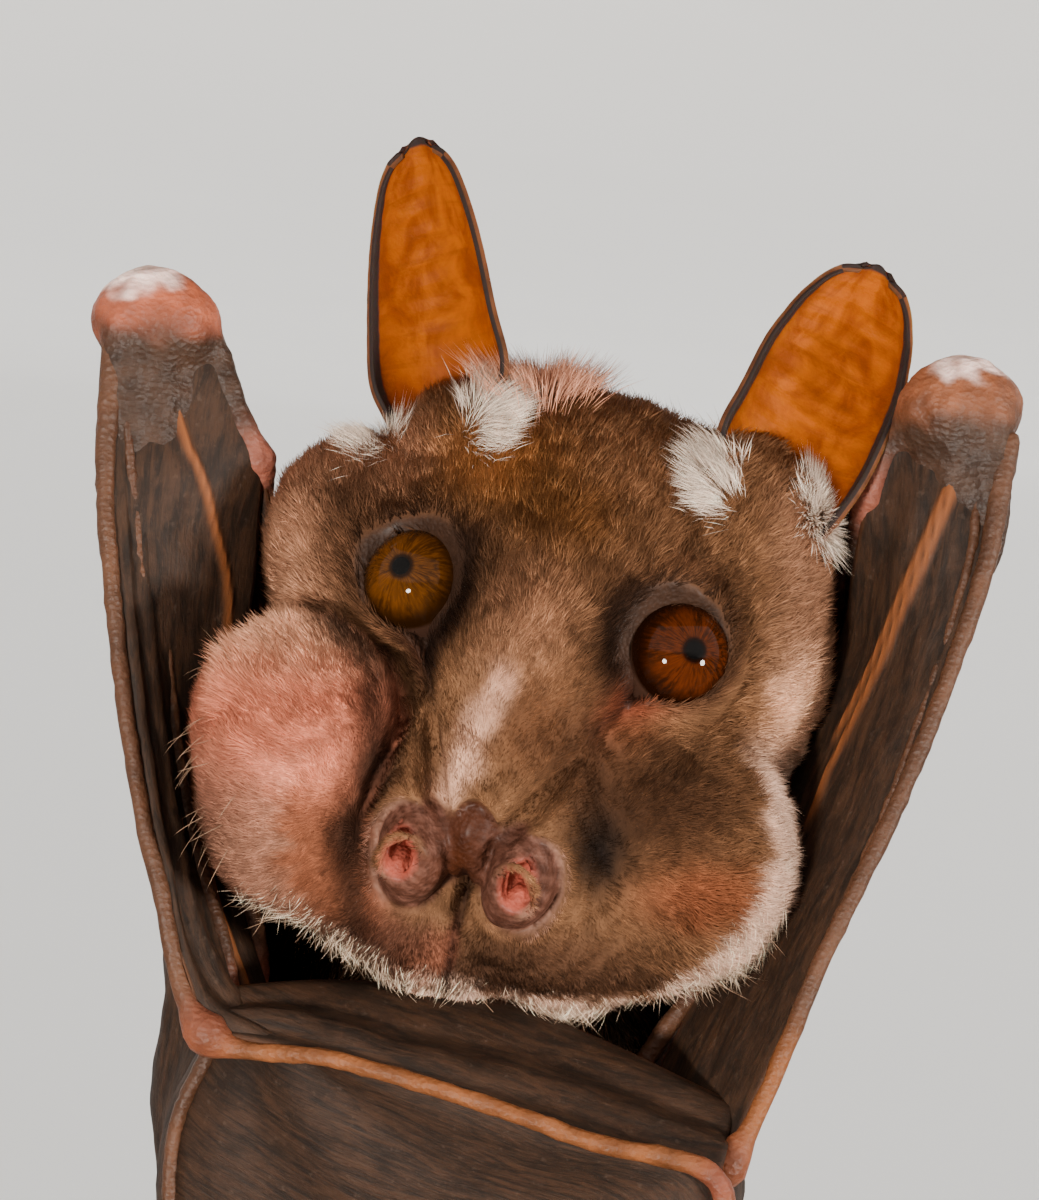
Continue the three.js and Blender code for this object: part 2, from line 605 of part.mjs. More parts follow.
for (const side of [-1, 1]) {
  const parts = wingParts(side);
  const kinds = { wrist: 'finger', forearm: 'finger', upper_arm: 'coat', thumb: 'finger' };
  for (const [part, build] of Object.entries(parts)) {
    const kind = kinds[part] ?? (part.startsWith('finger') ? 'finger' : 'skin');
    place(`${part}_${sideName(side)}`, kind, build);
  }
  const [joint, tip] = WING[side].thumbTip.map(vec);
  const ahead = tip.clone().sub(joint).normalize();
  place(`thumb_claw_${sideName(side)}`, 'horn', (g) => claw(
    tip.clone().addScaledVector(ahead, 0.9),
    ahead,
    [0, -0.6, -0.8],
    5.2,
    0.95,
    g,
  ));
}
// ---------------------------------------------------------------- the hang and the stand

// Turned head down, with the trunk plumb and the middle of the perch over the middle of the base.
bat.rotation.y = Math.PI - rad(LEAN);
bat.updateMatrix();
const perchAt = perchPoint(0).applyMatrix4(bat.matrix);
bat.position.set(-perchAt.x, -perchAt.y, BASE_H + HEAD_ROOM);
bat.updateMatrix();

place('stand_perch', 'bark', (g) => {
  const points = [-1, -0.5, 0, 0.5, 1].map((t) => perchPoint(t * PERCH_HALF));
  const radii = [0.95, 1.04, 0.97, 1, 0.93].map((share) => share * PERCH_R);
  return limb(points, radii, { sides: 10, fine: 1, grow: g });
}, { group: stand });

for (const side of [-1, 1]) {
  for (const [part, build] of Object.entries(legParts(side))) {
    const kind = part.startsWith('toe') ? 'horn' : part === 'foot' ? 'skin' : 'coat';
    place(`${part}_${sideName(side)}`, kind, build);
  }
}

/** A solid drawn in the stand's frame, brought into the bat's. */
const standing = (geometry) => solidFrom(geometry.applyMatrix4(bat.matrix.clone().invert()));
const perchHeight = perchPoint(0).applyMatrix4(bat.matrix).z;
for (const [side, name] of [[-1, 'left'], [1, 'right']]) {
  place(`stand_rod_${name}`, 'rod', (g) => {
    const height = perchHeight - BASE_H + ROD_SUNK + 2 * g;
    const rod = new THREE.CylinderGeometry(ROD_R + g, ROD_R + g, height, 10);
    rod.rotateX(Math.PI / 2);
    rod.translate(side * ROD_AT, 0, BASE_H - ROD_SUNK - g + height / 2);
    return standing(rod);
  }, { group: stand });
}
place('stand_base', 'wood', () => {
  // From the foot up: a rolled edge, a groove, a bead and a lowered brim.
  const profile = [
    [0, 0], [BASE_R - 2, 0], [BASE_R, 3], [BASE_R - 2.6, 6.2], [BASE_R - 1.6, 7.8], [BASE_R - 4, 9.6],
    [BASE_R - 6, BASE_H], [0, BASE_H],
  ];
  const disc = new THREE.LatheGeometry(profile.map(([r, z]) => new THREE.Vector2(r, z)), 32);
  disc.rotateX(Math.PI / 2);
  return standing(disc);
}, { group: stand });

const model = new THREE.Group();
model.add(stand, bat);

export default model;
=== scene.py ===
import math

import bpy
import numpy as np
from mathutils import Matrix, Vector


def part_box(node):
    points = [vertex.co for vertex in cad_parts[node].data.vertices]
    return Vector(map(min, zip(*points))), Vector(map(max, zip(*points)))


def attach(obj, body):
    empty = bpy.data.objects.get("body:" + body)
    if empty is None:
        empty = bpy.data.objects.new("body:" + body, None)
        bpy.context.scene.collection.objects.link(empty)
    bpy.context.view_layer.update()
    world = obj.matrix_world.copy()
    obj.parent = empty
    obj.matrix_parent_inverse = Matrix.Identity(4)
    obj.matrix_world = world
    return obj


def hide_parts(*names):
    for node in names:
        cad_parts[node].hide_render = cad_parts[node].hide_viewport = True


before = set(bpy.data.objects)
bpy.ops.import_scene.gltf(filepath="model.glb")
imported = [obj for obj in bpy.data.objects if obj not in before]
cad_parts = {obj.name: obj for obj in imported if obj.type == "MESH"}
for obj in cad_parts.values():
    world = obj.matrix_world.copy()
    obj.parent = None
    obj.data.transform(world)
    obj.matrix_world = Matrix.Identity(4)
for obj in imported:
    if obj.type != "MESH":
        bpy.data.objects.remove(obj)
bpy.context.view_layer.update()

# An epauletted fruit bat hanging by its feet from a short perch on a display stand, life size.
# Everything of the bat is drawn head up in its own frame, in millimetres: X to its left, Y to its
# back and Z to its crown, from a point between the eyes. hang() turns it over into the model's frame.

# ---------------------------------------------------------------- driving sizes

MM = 0.001
LEAN = math.radians(7)                  # of the trunk, in the bat's own frame
HEAD_ROOM = 66                          # from the base's top to the bat's origin
PERCH_AT = (33, -134)                   # Y and Z of the perch's middle line
PERCH_R = 6.2
PERCH_HALF = 72

EYE_R = 4.9
EYE_AT = (10.75, 0.2, 0.7)              # in the head's frame, for the left eye
EYE_OPENS = (0.3, -0.65, 0.7)

FACE_COAT = 0.9                         # how deep the skin lies under the tips of the coat
CHEEK_COAT = 1.0
BODY_COAT = 3.0

VIEW_HEIGHT = 1200 * 0.082              # of the camera's frame, at the bat's origin
CAMERA_AWAY = 600

SHARE = 1.0      # of the tufts that are grown
FINE = 0.44      # spacing of the skin's points on the head
COARSE = 0.9                            # and on the body
SKIN_LOW, SKIN_HIGH = -124, 24          # heights between which the skin lies
SKIN_HALF = (31, 33.5)                  # half its reach in X and Y
NECK = (-60, -25)                       # heights over which the trunk passes into the head
MOST_FACES = 190000                     # in one piece of coat
TUFT_PATCH = 0.0015                     # of the coat's unwrapping, for each tuft

SIDE_NAME = {-1: "right", 1: "left"}

# ---------------------------------------------------------------- frames


def turn(axis, angle):
    return np.array(Matrix.Rotation(angle, 3, axis))


HEAD = turn("Y", math.radians(9.1)) @ turn("X", math.radians(37.1)) @ turn("Z", math.radians(-10.4))
HEAD_AT = np.array([2.1, 0.0, -2.4])
HANG = turn("Y", math.pi - LEAN)


def midline(z):
    """The trunk's middle line at height z, as an x."""
    return 1 + (z + 22) * math.tan(LEAN)


def perch_point(offset):
    along = np.array([math.cos(LEAN), 0, -math.sin(LEAN)])
    return np.array([midline(PERCH_AT[1]), PERCH_AT[0], PERCH_AT[1]]) + along * offset


BASE_HIGH = np.array(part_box("stand_base")[1])
ORIGIN = -(HANG @ perch_point(0))
ORIGIN[2] = BASE_HIGH[2] / MM + HEAD_ROOM


def hang(points):
    """Points of the bat's frame in the model's frame, in metres."""
    return (np.asarray(points, float) @ HANG.T + ORIGIN) * MM


def from_head(points):
    return np.asarray(points, float) @ HEAD.T + HEAD_AT


def in_head(points):
    return (points - HEAD_AT) @ HEAD


# ---------------------------------------------------------------- small helpers


def unit(vectors):
    vectors = np.asarray(vectors, float)
    return vectors / np.maximum(np.linalg.norm(vectors, axis=-1, keepdims=True), 1e-9)


def square_to(vectors, axis):
    """The vectors' part at right angles to the axis, of length one."""
    return unit(vectors - np.sum(vectors * axis, axis=-1, keepdims=True) * axis)


def rise(low, high, value):
    """0 below low, 1 above high, smooth between."""
    t = np.clip((value - low) / (high - low), 0, 1)
    return t * t * (3 - 2 * t)


def mix(a, b, share):
    return a + (b - a) * share


def waves(points, size, seed, count=9):
    """Smooth, seeded unevenness of about -1 to 1, with lumps of about the given size."""
    rng = np.random.default_rng(seed)
    ways = unit(rng.normal(size=(count, 3))) * (2 * math.pi / size) * rng.uniform(0.6, 1.5, (count, 1))
    return np.sin(points @ ways.T + rng.uniform(0, 6.28, count)).sum(axis=1) / math.sqrt(count)


def round_turn(count):
    """Angles evenly round a circle."""
    return np.linspace(0, 2 * math.pi, count, endpoint=False)


def tint(red, green, blue):
    """A colour, given 0 to 255 as a screen shows it, in linear light."""
    c = np.array([red, green, blue]) / 255
    return np.where(c < 0.04045, c / 12.92, ((c + 0.055) / 1.055) ** 2.4)


def rgba(colour):
    return (*[float(part) for part in colour], 1.0)


# ---------------------------------------------------------------- paths


class Path:
    """A smooth curve through points."""

    def __init__(self, points, fine=60):
        p = np.asarray(points, float)
        p = np.vstack([2 * p[0] - p[1], p, 2 * p[-1] - p[-2]])
        dots = []
        for a, b, c, d in zip(p[:-3], p[1:-2], p[2:-1], p[3:]):
            t0, t1, t2 = (max(np.linalg.norm(y - x), 1e-6) ** 0.5 for x, y in ((a, b), (b, c), (c, d)))
            leave = ((b - a) / t0 - (c - a) / (t0 + t1) + (c - b) / t1) * t1
            reach = ((c - b) / t1 - (d - b) / (t1 + t2) + (d - c) / t2) * t1
            s = np.arange(fine)[:, None] / fine
            dots.append(b + s * leave + s**2 * (-3 * b + 3 * c - 2 * leave - reach)
                        + s**3 * (2 * b - 2 * c + leave + reach))
        self.dots = np.vstack([*dots, p[-2][None]])
        steps = np.linalg.norm(np.diff(self.dots, axis=0), axis=1)
        self.run = np.concatenate([[0], np.cumsum(steps)])
        self.length = self.run[-1]

    def _read(self, table, at):
        return np.stack([np.interp(at, table, self.dots[:, k]) for k in range(3)], axis=-1)

    def at(self, share):
        """Points at shares of the length."""
        return self._read(self.run / self.length, share)

    def by_point(self, share):
        """Points at shares of the row of points that the curve goes through."""
        return self._read(np.linspace(0, 1, len(self.dots)), share)


def between(first, second, across, along):
    """A grid of points from one path to another."""
    a, b = Path(first), Path(second)
    return mix(a.at(along)[None, :, :], b.at(along)[None, :, :], across[:, None, None])


# ---------------------------------------------------------------- shapes


class Shape:
    """Points, faces of three or four corners, and what is painted on the points."""

    def __init__(self, points, faces, uv=None, **paint):
        self.points = np.asarray(points, float)
        self.faces = [np.asarray(f, int) for f in faces if len(f)]
        self.uv = uv or {}
        self.paint = paint

    @staticmethod
    def join(shapes):
        starts = np.cumsum([0] + [len(s.points) for s in shapes[:-1]])
        faces = [f + start for s, start in zip(shapes, starts) for f in s.faces]
        gather = lambda part, key: np.concatenate([getattr(s, part)[key] for s in shapes])
        joined = Shape(np.concatenate([s.points for s in shapes]), faces)
        joined.uv = {key: gather("uv", key) for key in shapes[0].uv}
        joined.paint = {key: gather("paint", key) for key in shapes[0].paint}
        return joined

    def piece(self, name, finish, slot, nodes, turned=True):
        """Makes the visible piece; turned hangs a shape that was drawn in the bat's frame."""
        mesh = bpy.data.meshes.new(name)
        points = hang(self.points) if turned else self.points * MM
        sizes = np.concatenate([np.full(len(f), f.shape[1]) for f in self.faces])
        corners = np.concatenate([f.ravel() for f in self.faces])
        mesh.vertices.add(len(points))
        mesh.vertices.foreach_set("co", points.ravel())
        mesh.loops.add(len(corners))
        mesh.loops.foreach_set("vertex_index", corners)
        mesh.polygons.add(len(sizes))
        mesh.polygons.foreach_set("loop_start", np.concatenate([[0], np.cumsum(sizes)[:-1]]))
        mesh.polygons.foreach_set("loop_total", sizes)
        mesh.update(calc_edges=True)
        for key, values in self.uv.items():
            layer = mesh.uv_layers.new(name=key)
            layer.data.foreach_set("uv", values[corners].ravel())
        for key, values in self.paint.items():
            flat = values.ndim == 1
            kind = "FLOAT" if flat else "FLOAT_COLOR"
            layer = mesh.attributes.new(key, kind, "POINT")
            filled = values if flat else np.c_[values, np.ones(len(values))]
            layer.data.foreach_set("value" if flat else "color", filled.ravel())
        mesh.shade_smooth()
        made = bpy.data.objects.new(name, mesh)
        bpy.context.scene.collection.objects.link(made)
        made.data.materials.append(finish)
        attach(made, "root")
        if nodes:
            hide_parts(*nodes)
        return made


def ring_faces(rows, count, closed=True):
    """Faces between rows of points, each row a ring of the given count."""
    i, k = np.meshgrid(np.arange(rows - 1), np.arange(count if closed else count - 1), indexing="ij")
    a = i * count + k
    b = i * count + (k + 1) % count
    return np.stack([a, b, b + count, a + count], axis=-1).reshape(-1, 4)


def fan(hub, start, count, flip=False):
    """Triangles from one point to a ring of points that begins at start."""
    k = np.arange(count)
    first, second = start + k, start + (k + 1) % count
    if flip:
        first, second = second, first
    return np.stack([np.full(count, hub), first, second], axis=1)


def tube(centres, radii, sides=12, flat=1.0, side=(0.0, 0.0, 1.0)):
    """A round-ended tube along centres; flat squeezes it across its side."""
    centres = np.asarray(centres, float)
    radii = np.asarray(radii, float)
    tangents = unit(np.gradient(centres, axis=0))
    caps = (0.95, 0.6)
    head = [centres[0] - tangents[0] * radii[0] * c for c in caps]
    tail = [centres[-1] + tangents[-1] * radii[-1] * c for c in reversed(caps)]
    narrow = [math.sqrt(1 - c * c) for c in caps]
    centres = np.vstack([head, centres, tail])
    tangents = np.vstack([[tangents[0]] * 2, tangents, [tangents[-1]] * 2])
    radii = np.concatenate([radii[0] * np.array(narrow), radii, radii[-1] * np.array(narrow[::-1])])
    turns = round_turn(sides)
    across = np.asarray(side, float)
    loops = []
    for centre, tangent, r in zip(centres, tangents, radii):
        across = square_to(across, tangent)
        up = np.cross(tangent, across)
        loops.append(centre + r * (np.cos(turns)[:, None] * across + flat * np.sin(turns)[:, None] * up))
    points = np.vstack([centres[0][None], np.concatenate(loops), centres[-1][None]])
    rows = len(loops)
    quads = 1 + ring_faces(rows, sides)
    start = fan(0, 1, sides, flip=True)
    end = fan(len(points) - 1, 1 + (rows - 1) * sides, sides)
    return Shape(points, [quads, start, end])


def spread(radii, count):
    """Radii read evenly at a count of places."""
    return np.interp(np.linspace(0, 1, count), np.linspace(0, 1, len(radii)), radii)


def sheet_of(rows, thick, uv, face=None, **paint):
    """A thin closed shell about a grid of points.

    Where face is given, the side that looks away from it is marked as its back.
    """
    m, n = rows.shape[:2]
    normal = unit(np.cross(np.gradient(rows, axis=0), np.gradient(rows, axis=1)))
    edge = np.ones((m, n))
    edge[[0, -1], :] = 0.15
    edge[:, [0, -1]] = 0.15
    half = (thick / 2 * edge)[..., None] * normal
    if face is not None:
        toward_face = (normal @ face).reshape(-1, 1)
        paint = {**paint, "back": toward_face < 0}
    points = np.concatenate([(rows + half).reshape(-1, 3), (rows - half).reshape(-1, 3)])
    front = ring_faces(m, n, closed=False)
    low = m * n
    border = np.concatenate([
        np.arange(n - 1),
        np.arange(m - 1) * n + n - 1,
        (m - 1) * n + np.arange(n - 1, 0, -1),
        np.arange(m - 1, 0, -1) * n,
    ])
    after = np.roll(border, -1)
    wall = np.stack([border, low + border, low + after, after], axis=1)
    twice = lambda values: np.concatenate([values.reshape(low, -1)] * 2)
    layers = {key: twice(values) for key, values in uv.items()}
    marks = {key: twice(values).squeeze().astype(float) for key, values in paint.items()}
    if face is not None:
        marks["back"][low:] = 1 - marks["back"][low:]
    return Shape(points, [front[:, ::-1], low + front, wall[:, ::-1]], layers, **marks)


# ---------------------------------------------------------------- rounded fields


def ellipsoid(centre, radii):
    """The distance to an ellipsoid's skin, nearly: below 0 inside."""
    c, r = np.asarray(centre, float), np.asarray(radii, float)

    def field(p):
        q = (p - c) / r
        k = np.sqrt((q * q).sum(axis=1))
        s = q / r
        return k * (k - 1) / np.maximum(np.sqrt((s * s).sum(axis=1)), 1e-5)
    return field


def cone(start, start_r, end, end_r):
    a = np.asarray(start, float)
    axis = np.asarray(end, float) - a
    long = axis @ axis

    def field(p):
        q = p - a
        t = np.clip(q @ axis / long, 0, 1)
        return np.linalg.norm(q - t[:, None] * axis, axis=1) - mix(start_r, end_r, t)
    return field


def blend(soft, *values):
    """Joins distances with a soft fillet."""
    joined = values[0]
    for value in values[1:]:
        h = np.maximum(soft - np.abs(joined - value), 0) / soft
        joined = np.minimum(joined, value) - h * h * soft / 4
    return joined


def carve(soft, value, *tools):
    """Takes tools out of a body, with softened edges."""
    for tool in tools:
        value = -blend(soft, -value, tool)
    return value


def ridge(distance, width):
    return np.exp(-((distance / width) ** 2))


def slope(field, p, reach=0.06):
    out = np.empty_like(p)
    for axis in range(3):
        step = np.zeros(3)
        step[axis] = reach
        out[:, axis] = (field(p + step) - field(p - step)) / (2 * reach)
    return out


class Lattice:
    """Sample points in a block, whose spacing and middle may change with height."""

    def __init__(self, low, high, half, spacing, middle):
        heights = [high]
        while heights[-1] > low:
            heights.append(heights[-1] - spacing(heights[-1]))
        self.z = np.array(heights[::-1])
        self.step = np.array([spacing(z) for z in self.z])
        self.middle = np.array([middle(z) for z in self.z])
        self.half = half
        self.counts = (2 * half[0] + 1, 2 * half[1] + 1, len(self.z))

    def place(self, index):
        k = index[:, 2]
        levels = np.arange(len(self.z))
        step = np.interp(k, levels, self.step)
        x = np.interp(k, levels, self.middle[:, 0]) + (index[:, 0] - self.half[0]) * step
        y = np.interp(k, levels, self.middle[:, 1]) + (index[:, 1] - self.half[1]) * step
        return np.stack([x, y, np.interp(k, levels, self.z)], axis=1)

    def sample(self, field):
        """The field at every point, exact only near its skin."""
        coarse = [np.minimum(np.arange(1, n + 2, 3), n - 1) for n in self.counts]
        index = np.stack(np.meshgrid(*coarse, indexing="ij"), axis=-1).reshape(-1, 3)
        rough = field(self.place(index.astype(float))).reshape([len(c) for c in coarse])
        for axis in range(3):
            rough = rough.repeat(3, axis)
        nx, ny, nz = self.counts
        values = rough[:nx, :ny, :nz].astype(np.float32)
        near = np.argwhere(np.abs(values) < 3.8 * self.step[None, None, :])
        values[tuple(near.T)] = field(self.place(near.astype(float)))
        return values


CORNERS = np.array([(i, j, k) for i in (0, 1) for j in (0, 1) for k in (0, 1)])


def skin_of(field, lattice, rounds=3):
    """The closed skin where a field is zero: a point in each mixed cell, drawn onto the skin."""
    values = lattice.sample(field)
    inside = values < 0
    nx, ny, nz = (n - 1 for n in values.shape)
    count = np.zeros((nx, ny, nz), np.uint8)
    for i, j, k in CORNERS:
        count += inside[i:nx + i, j:ny + j, k:nz + k]
    mixed = (count > 0) & (count < 8)
    number = np.full(mixed.shape, -1)
    number[mixed] = np.arange(mixed.sum())
    cells = np.argwhere(mixed)
    total = np.zeros((len(cells), 3))
    crossed = np.zeros(len(cells))
    for a in CORNERS:
        for b in CORNERS:
            if (b - a).sum() != 1 or np.abs(b - a).sum() != 1:
                continue
            va = values[tuple((cells + a).T)]
            vb = values[tuple((cells + b).T)]
            cut = (va < 0) != (vb < 0)
            share = va[cut] / (va[cut] - vb[cut])
            total[cut] += cells[cut] + a + share[:, None] * (b - a)
            crossed[cut] += 1
    points = lattice.place(total / crossed[:, None])
    quads = []
    for axis in range(3):
        u, w = (axis + 1) % 3, (axis + 2) % 3
        ahead = np.roll(inside, -1, axis)
        change = inside != ahead
        edges = np.argwhere(change)
        keep = (edges[:, axis] < values.shape[axis] - 1) & (edges[:, u] > 0) & (edges[:, w] > 0)
        keep &= (edges[:, u] < values.shape[u] - 1) & (edges[:, w] < values.shape[w] - 1)
        edges = edges[keep]
        back_u, back_w = np.eye(3, dtype=int)[[u, w]]
        steps_back = (back_u + back_w, back_w, 0 * back_u, back_u)
        quad = np.stack([number[tuple((edges - back).T)] for back in steps_back], axis=1)
        outward = inside[tuple(edges.T)]
        quads.append(np.where(outward[:, None], quad, quad[:, ::-1]))
    for _ in range(rounds):
        grade = slope(field, points)
        pull = np.clip(field(points), -0.4, 0.4) / np.maximum((grade**2).sum(axis=1), 0.2)
        points = points - grade * pull[:, None]
    return Shape(points, [np.concatenate(quads)])


# ---------------------------------------------------------------- the eyes' places


class Eye:
    """One eye: its ball, the way its lids open, and its inner corner."""

    def __init__(self, side, gaze):
        self.side = side
        self.centre = from_head([side * EYE_AT[0], EYE_AT[1], EYE_AT[2]])
        self.opens = unit(HEAD @ np.array([side * EYE_OPENS[0], EYE_OPENS[1], EYE_OPENS[2]]))
        self.corner = square_to(HEAD @ np.array([-side * 0.5, -0.55, -0.67]), self.opens)
        self.across = np.cross(self.opens, self.corner)
        self.gaze = unit(gaze)

    def lids(self, p):
        """How far points lie from the eye's middle, and from the edge of its opening: below 0 in it."""
        q = p - self.centre
        r = np.maximum(np.linalg.norm(q, axis=1), 1e-6)
        n = q / r[:, None]
        polar = EYE_R * np.arccos(np.clip(n @ self.opens, -1, 1))
        turned = np.arctan2(n @ self.across, n @ self.corner)
        a, b = polar * np.cos(turned), polar * np.sin(turned)
        oval = (np.sqrt(((a - 0.1) / 4.95) ** 2 + (b / 4.6) ** 2) - 1) * 4.5
        t = np.clip((a - 2.2) / 4.4, 0, 1)
        corner = np.hypot(a - 2.2 - 4.4 * t, b) - mix(3.0, 0.35, t)
        return r, blend(0.8, oval, corner)


EYES = [Eye(-1, (-0.33, -0.88, 0.34)), Eye(1, (0.34, -0.93, 0.1))]

# ---------------------------------------------------------------- the bat's skin

NOSTRIL = np.array([4.8, -21.3, -9.8])
SHOULDER_ELBOW = {-1: ((-14, 25, -20), (-15, 44, -53)), 1: ((14, 25, -21), (12, 47, -51))}


def leg_points(side):
    lean = math.tan(LEAN)
    return [
        np.array([midline(z) + side * x, y, z - side * x * lean])
        for x, y, z in ((7, 30, -86), (14.5, 39, -98), (8, 41, -121))
    ]


def pair(make, centre, radii):
    x, y, z = centre
    return [make((s * x, y, z), radii) for s in (-1, 1)]


SKULL = [
    ellipsoid([0, 10, 1], [16.2, 17.5, 12]),
    *pair(ellipsoid, [11.5, 14, 4.5], [6.5, 6.5, 7]),
    ellipsoid([0, -2, 1], [8.5, 10, 7.5]),
    *pair(ellipsoid, [9, 3, 0.4], [5.8, 6, 6.2]),
    cone([-0.6, -4, -2.5], 8, [-0.4, -12.5, -7.8], 6.3),
    *pair(ellipsoid, [3.9, -12.4, -9.6], [5.3, 8.0, 7.6]),
    *pair(ellipsoid, [6, -13, -12], [4.4, 6.4, 5.6]),
    *pair(ellipsoid, [10.5, 1, -9], [6.5, 10, 7.5]),
]
PADS = [
    *pair(ellipsoid, [4.3, -18.2, -11.4], [3.2, 4.0, 4.4]),
    ellipsoid([0, -16.9, -9.9], [2.4, 2.8, 4.2]),
]
LIPS = pair(ellipsoid, [4.8, -13.2, -16.8], [5.7, 7.0, 6.6])
JAW = cone([0, 4, -16], 8.6, [0, -14.2, -23], 5.4)
OTHER_CHEEK = ellipsoid([13.4, 2.6, -21], [10.2, 10.8, 11.2])
THROAT = ellipsoid([3.5, 5, -24.6], [9.5, 9, 10.4])
TEMPLES = [
    ellipsoid([19, 9, -1.5], [7.6, 8.5, 15.5]),
    ellipsoid([-14.5, 8, 4], [7.2, 8, 10]),
]
FULL_CHEEK = [
    ellipsoid([-18.0, -3, -9.4], [8.9, 9.6, 8.9]),
    ellipsoid([-19.3, -2.6, -15.5], [7.1, 9.2, 9]),
    cone([-18.6, -2, -19.5], 6, [-8.8, 1.0, -26.4], 5.6),
]
BODY = [
    ellipsoid([3.2, 21, 0.5], [25.6, 13.2, 16.2]),
    ellipsoid([1.5, 24, 9], [10.6, 9.2, 10.6]),
    ellipsoid([0.5, 26, -16], [21.6, 14.6, 13]),
    ellipsoid([midline(-42), 28.5, -42], [20.6, 15, 25]),
    ellipsoid([midline(-68), 30.5, -68], [16.4, 13.8, 27]),
    ellipsoid([midline(-88), 31, -88], [9.5, 9.5, 13]),
]


def nose_pads(h):
    """The two tubes of the nose, each with a raised rim round its nostril."""
    pads = blend(0.5, *(field(h) for field in PADS)) + 0.15
    for side in (-1, 1):
        q = (h - NOSTRIL * [side, 1, 1]) @ turn("Z", -side * 0.35)
        reach = np.hypot(q[:, 0], q[:, 2] * 0.85)
        rim = np.hypot(reach - 1.75, q[:, 1] + 0.1) - 0.42
        pads = blend(1.1, pads, rim)
    return pads


def nostrils(h):
    """The two openings, with a soft lump on the floor of each."""
    found = []
    for side in (-1, 1):
        at = NOSTRIL * [side, 1, 1]
        pit = ellipsoid(at + [side * 0.1, 0.3, 0.2], [1.15, 2.9, 1.75])(h)
        lump = ellipsoid(at + [side * 0.25, 1.1, -1.25], [0.8, 1.4, 0.8])(h)
        found.append(carve(0.3, pit, lump))
    return np.minimum(*found)


def mouth_line(h):
    """Distance from the closed lips' plane, and how much of a slit shows there."""
    tilt = unit(np.array([0, -0.24, 1.0]))
    away = (h - [0, -14, -22.4]) @ tilt + 0.5 * ridge(h[:, 0], 2.5)
    return away, 1 - rise(-8, -1, h[:, 1])


def full_cheek(p):
    """The stuffed right cheek."""
    return blend(4, *(field(p) for field in FULL_CHEEK)) + CHEEK_COAT


def face_field(p):
    """The head without its lids: skull, lips, cheeks and jaw, the nose, its nostrils and the closed mouth."""
    h = in_head(p)
    skull = blend(4, *(field(h) for field in SKULL))
    skull = blend(5, skull, *(field(p) for field in TEMPLES)) + FACE_COAT
    lips = blend(2, *(field(h) for field in LIPS))
    cheeks = blend(6, lips, OTHER_CHEEK(p), THROAT(p)) + FACE_COAT
    face = blend(1.2, blend(3, skull, cheeks), JAW(h) + 0.8)
    front = 1 - rise(-15, -10, h[:, 1])
    pads = nose_pads(h)
    face = face + 0.9 * ridge(pads - 0.3, 0.6) * (1 - rise(-15, -12, h[:, 1]))
    face = blend(0.8, face, pads)
    philtrum = rise(-23, -20, h[:, 2]) * (1 - rise(-12.5, -10, h[:, 2]))
    face = face + 0.9 * ridge(h[:, 0], 0.5) * front * philtrum
    slot = ridge(h[:, 0] - 1.9, 0.45) * ridge(h[:, 2] + 10, 2.2)
    face = face + 0.8 * slot * front
    away, shut = mouth_line(h)
    face = face + 0.9 * ridge(away, 0.4) * shut
    face = carve(0.5, face, nostrils(h))
    return face + 0.08 * waves(p, 2.6, 5)


def with_lids(value, p):
    """Adds the rounded lids and cuts their openings and the eyes' sockets."""
    for eye in EYES:
        r, edge = eye.lids(p)
        ball = r - EYE_R
        lid = carve(0.4, np.maximum(ball - 0.42, -ball - 0.6), edge)
        value = blend(1.8, value, lid)
        opening = np.maximum(edge * np.maximum(r, 1) / EYE_R, -((p - eye.centre) @ eye.opens))
        value = carve(0.4, value, opening)
        value = np.maximum(value, -(ball + 0.45))
    return value


def body_field(p):
    """The trunk, with the neck and the shoulders."""
    return blend(8, *(field(p) for field in BODY)) + BODY_COAT


def limb_field(p):
    """The upper arms, and the legs down to the ankles."""
    found = []
    for side in (-1, 1):
        shoulder, elbow = SHOULDER_ELBOW[side]
        hip, knee, ankle = leg_points(side)
        found.append(cone(shoulder, 5.4, elbow, 2.9)(p))
        found.append(blend(1.5, cone(hip, 5, knee, 2.9)(p), cone(knee, 2.6, ankle, 1.7)(p)))
    return blend(1, *found)


def skin_field(p):
    # The full pouch folds against the snout but runs on smoothly into the chin.
    face = blend(mix(5.0, 1.0, rise(-27, -20, p[:, 2])), face_field(p), full_cheek(p))
    head = with_lids(face, p)
    trunk = blend(3, body_field(p), limb_field(p))
    return blend(3.5, head, trunk)


def head_spacing(z):
    return mix(COARSE, FINE, float(rise(-48, -34, z)))


def skin_middle(z):
    share = float(rise(*NECK, z))
    return np.array([mix(midline(z), 0.5, share), mix(30.0, 5.5, share)])


def make_skin():
    half = tuple(int(reach / FINE) for reach in SKIN_HALF)
    return skin_of(skin_field, Lattice(SKIN_LOW, SKIN_HIGH, half, head_spacing, skin_middle))


# ---------------------------------------------------------------- markings of skin and coat, with painted light and shade

BROWN = tint(118, 82, 56)


def on_head(p, low, high):
    """How far points belong to the head rather than to the body, 0 to 1."""
    return rise(low, high, body_field(p) - np.minimum(face_field(p), full_cheek(p)))


def on_foot(p):
    """How far points are past the ankle, where the skin is bare, 0 to 1."""
    return 1 - rise(-117, -110, p[:, 2])


def near(p, x, z, rx, rz):
    """How close points are to a place on the bat, seen from its front."""
    far = ((p[:, 0] - x) / rx) ** 2 + ((p[:, 2] - z) / rz) ** 2
    return np.exp(-(far**1.5))


def along_line(p, start, end, width):
    """How close points are to a line on the front of the bat, given by X and Z."""
    a, b = np.array(start, float), np.array(end, float)
    q = p[:, [0, 2]] - a
    t = np.clip(q @ (b - a) / ((b - a) @ (b - a)), 0, 1)
    return ridge(np.linalg.norm(q - t[:, None] * (b - a), axis=1), width)


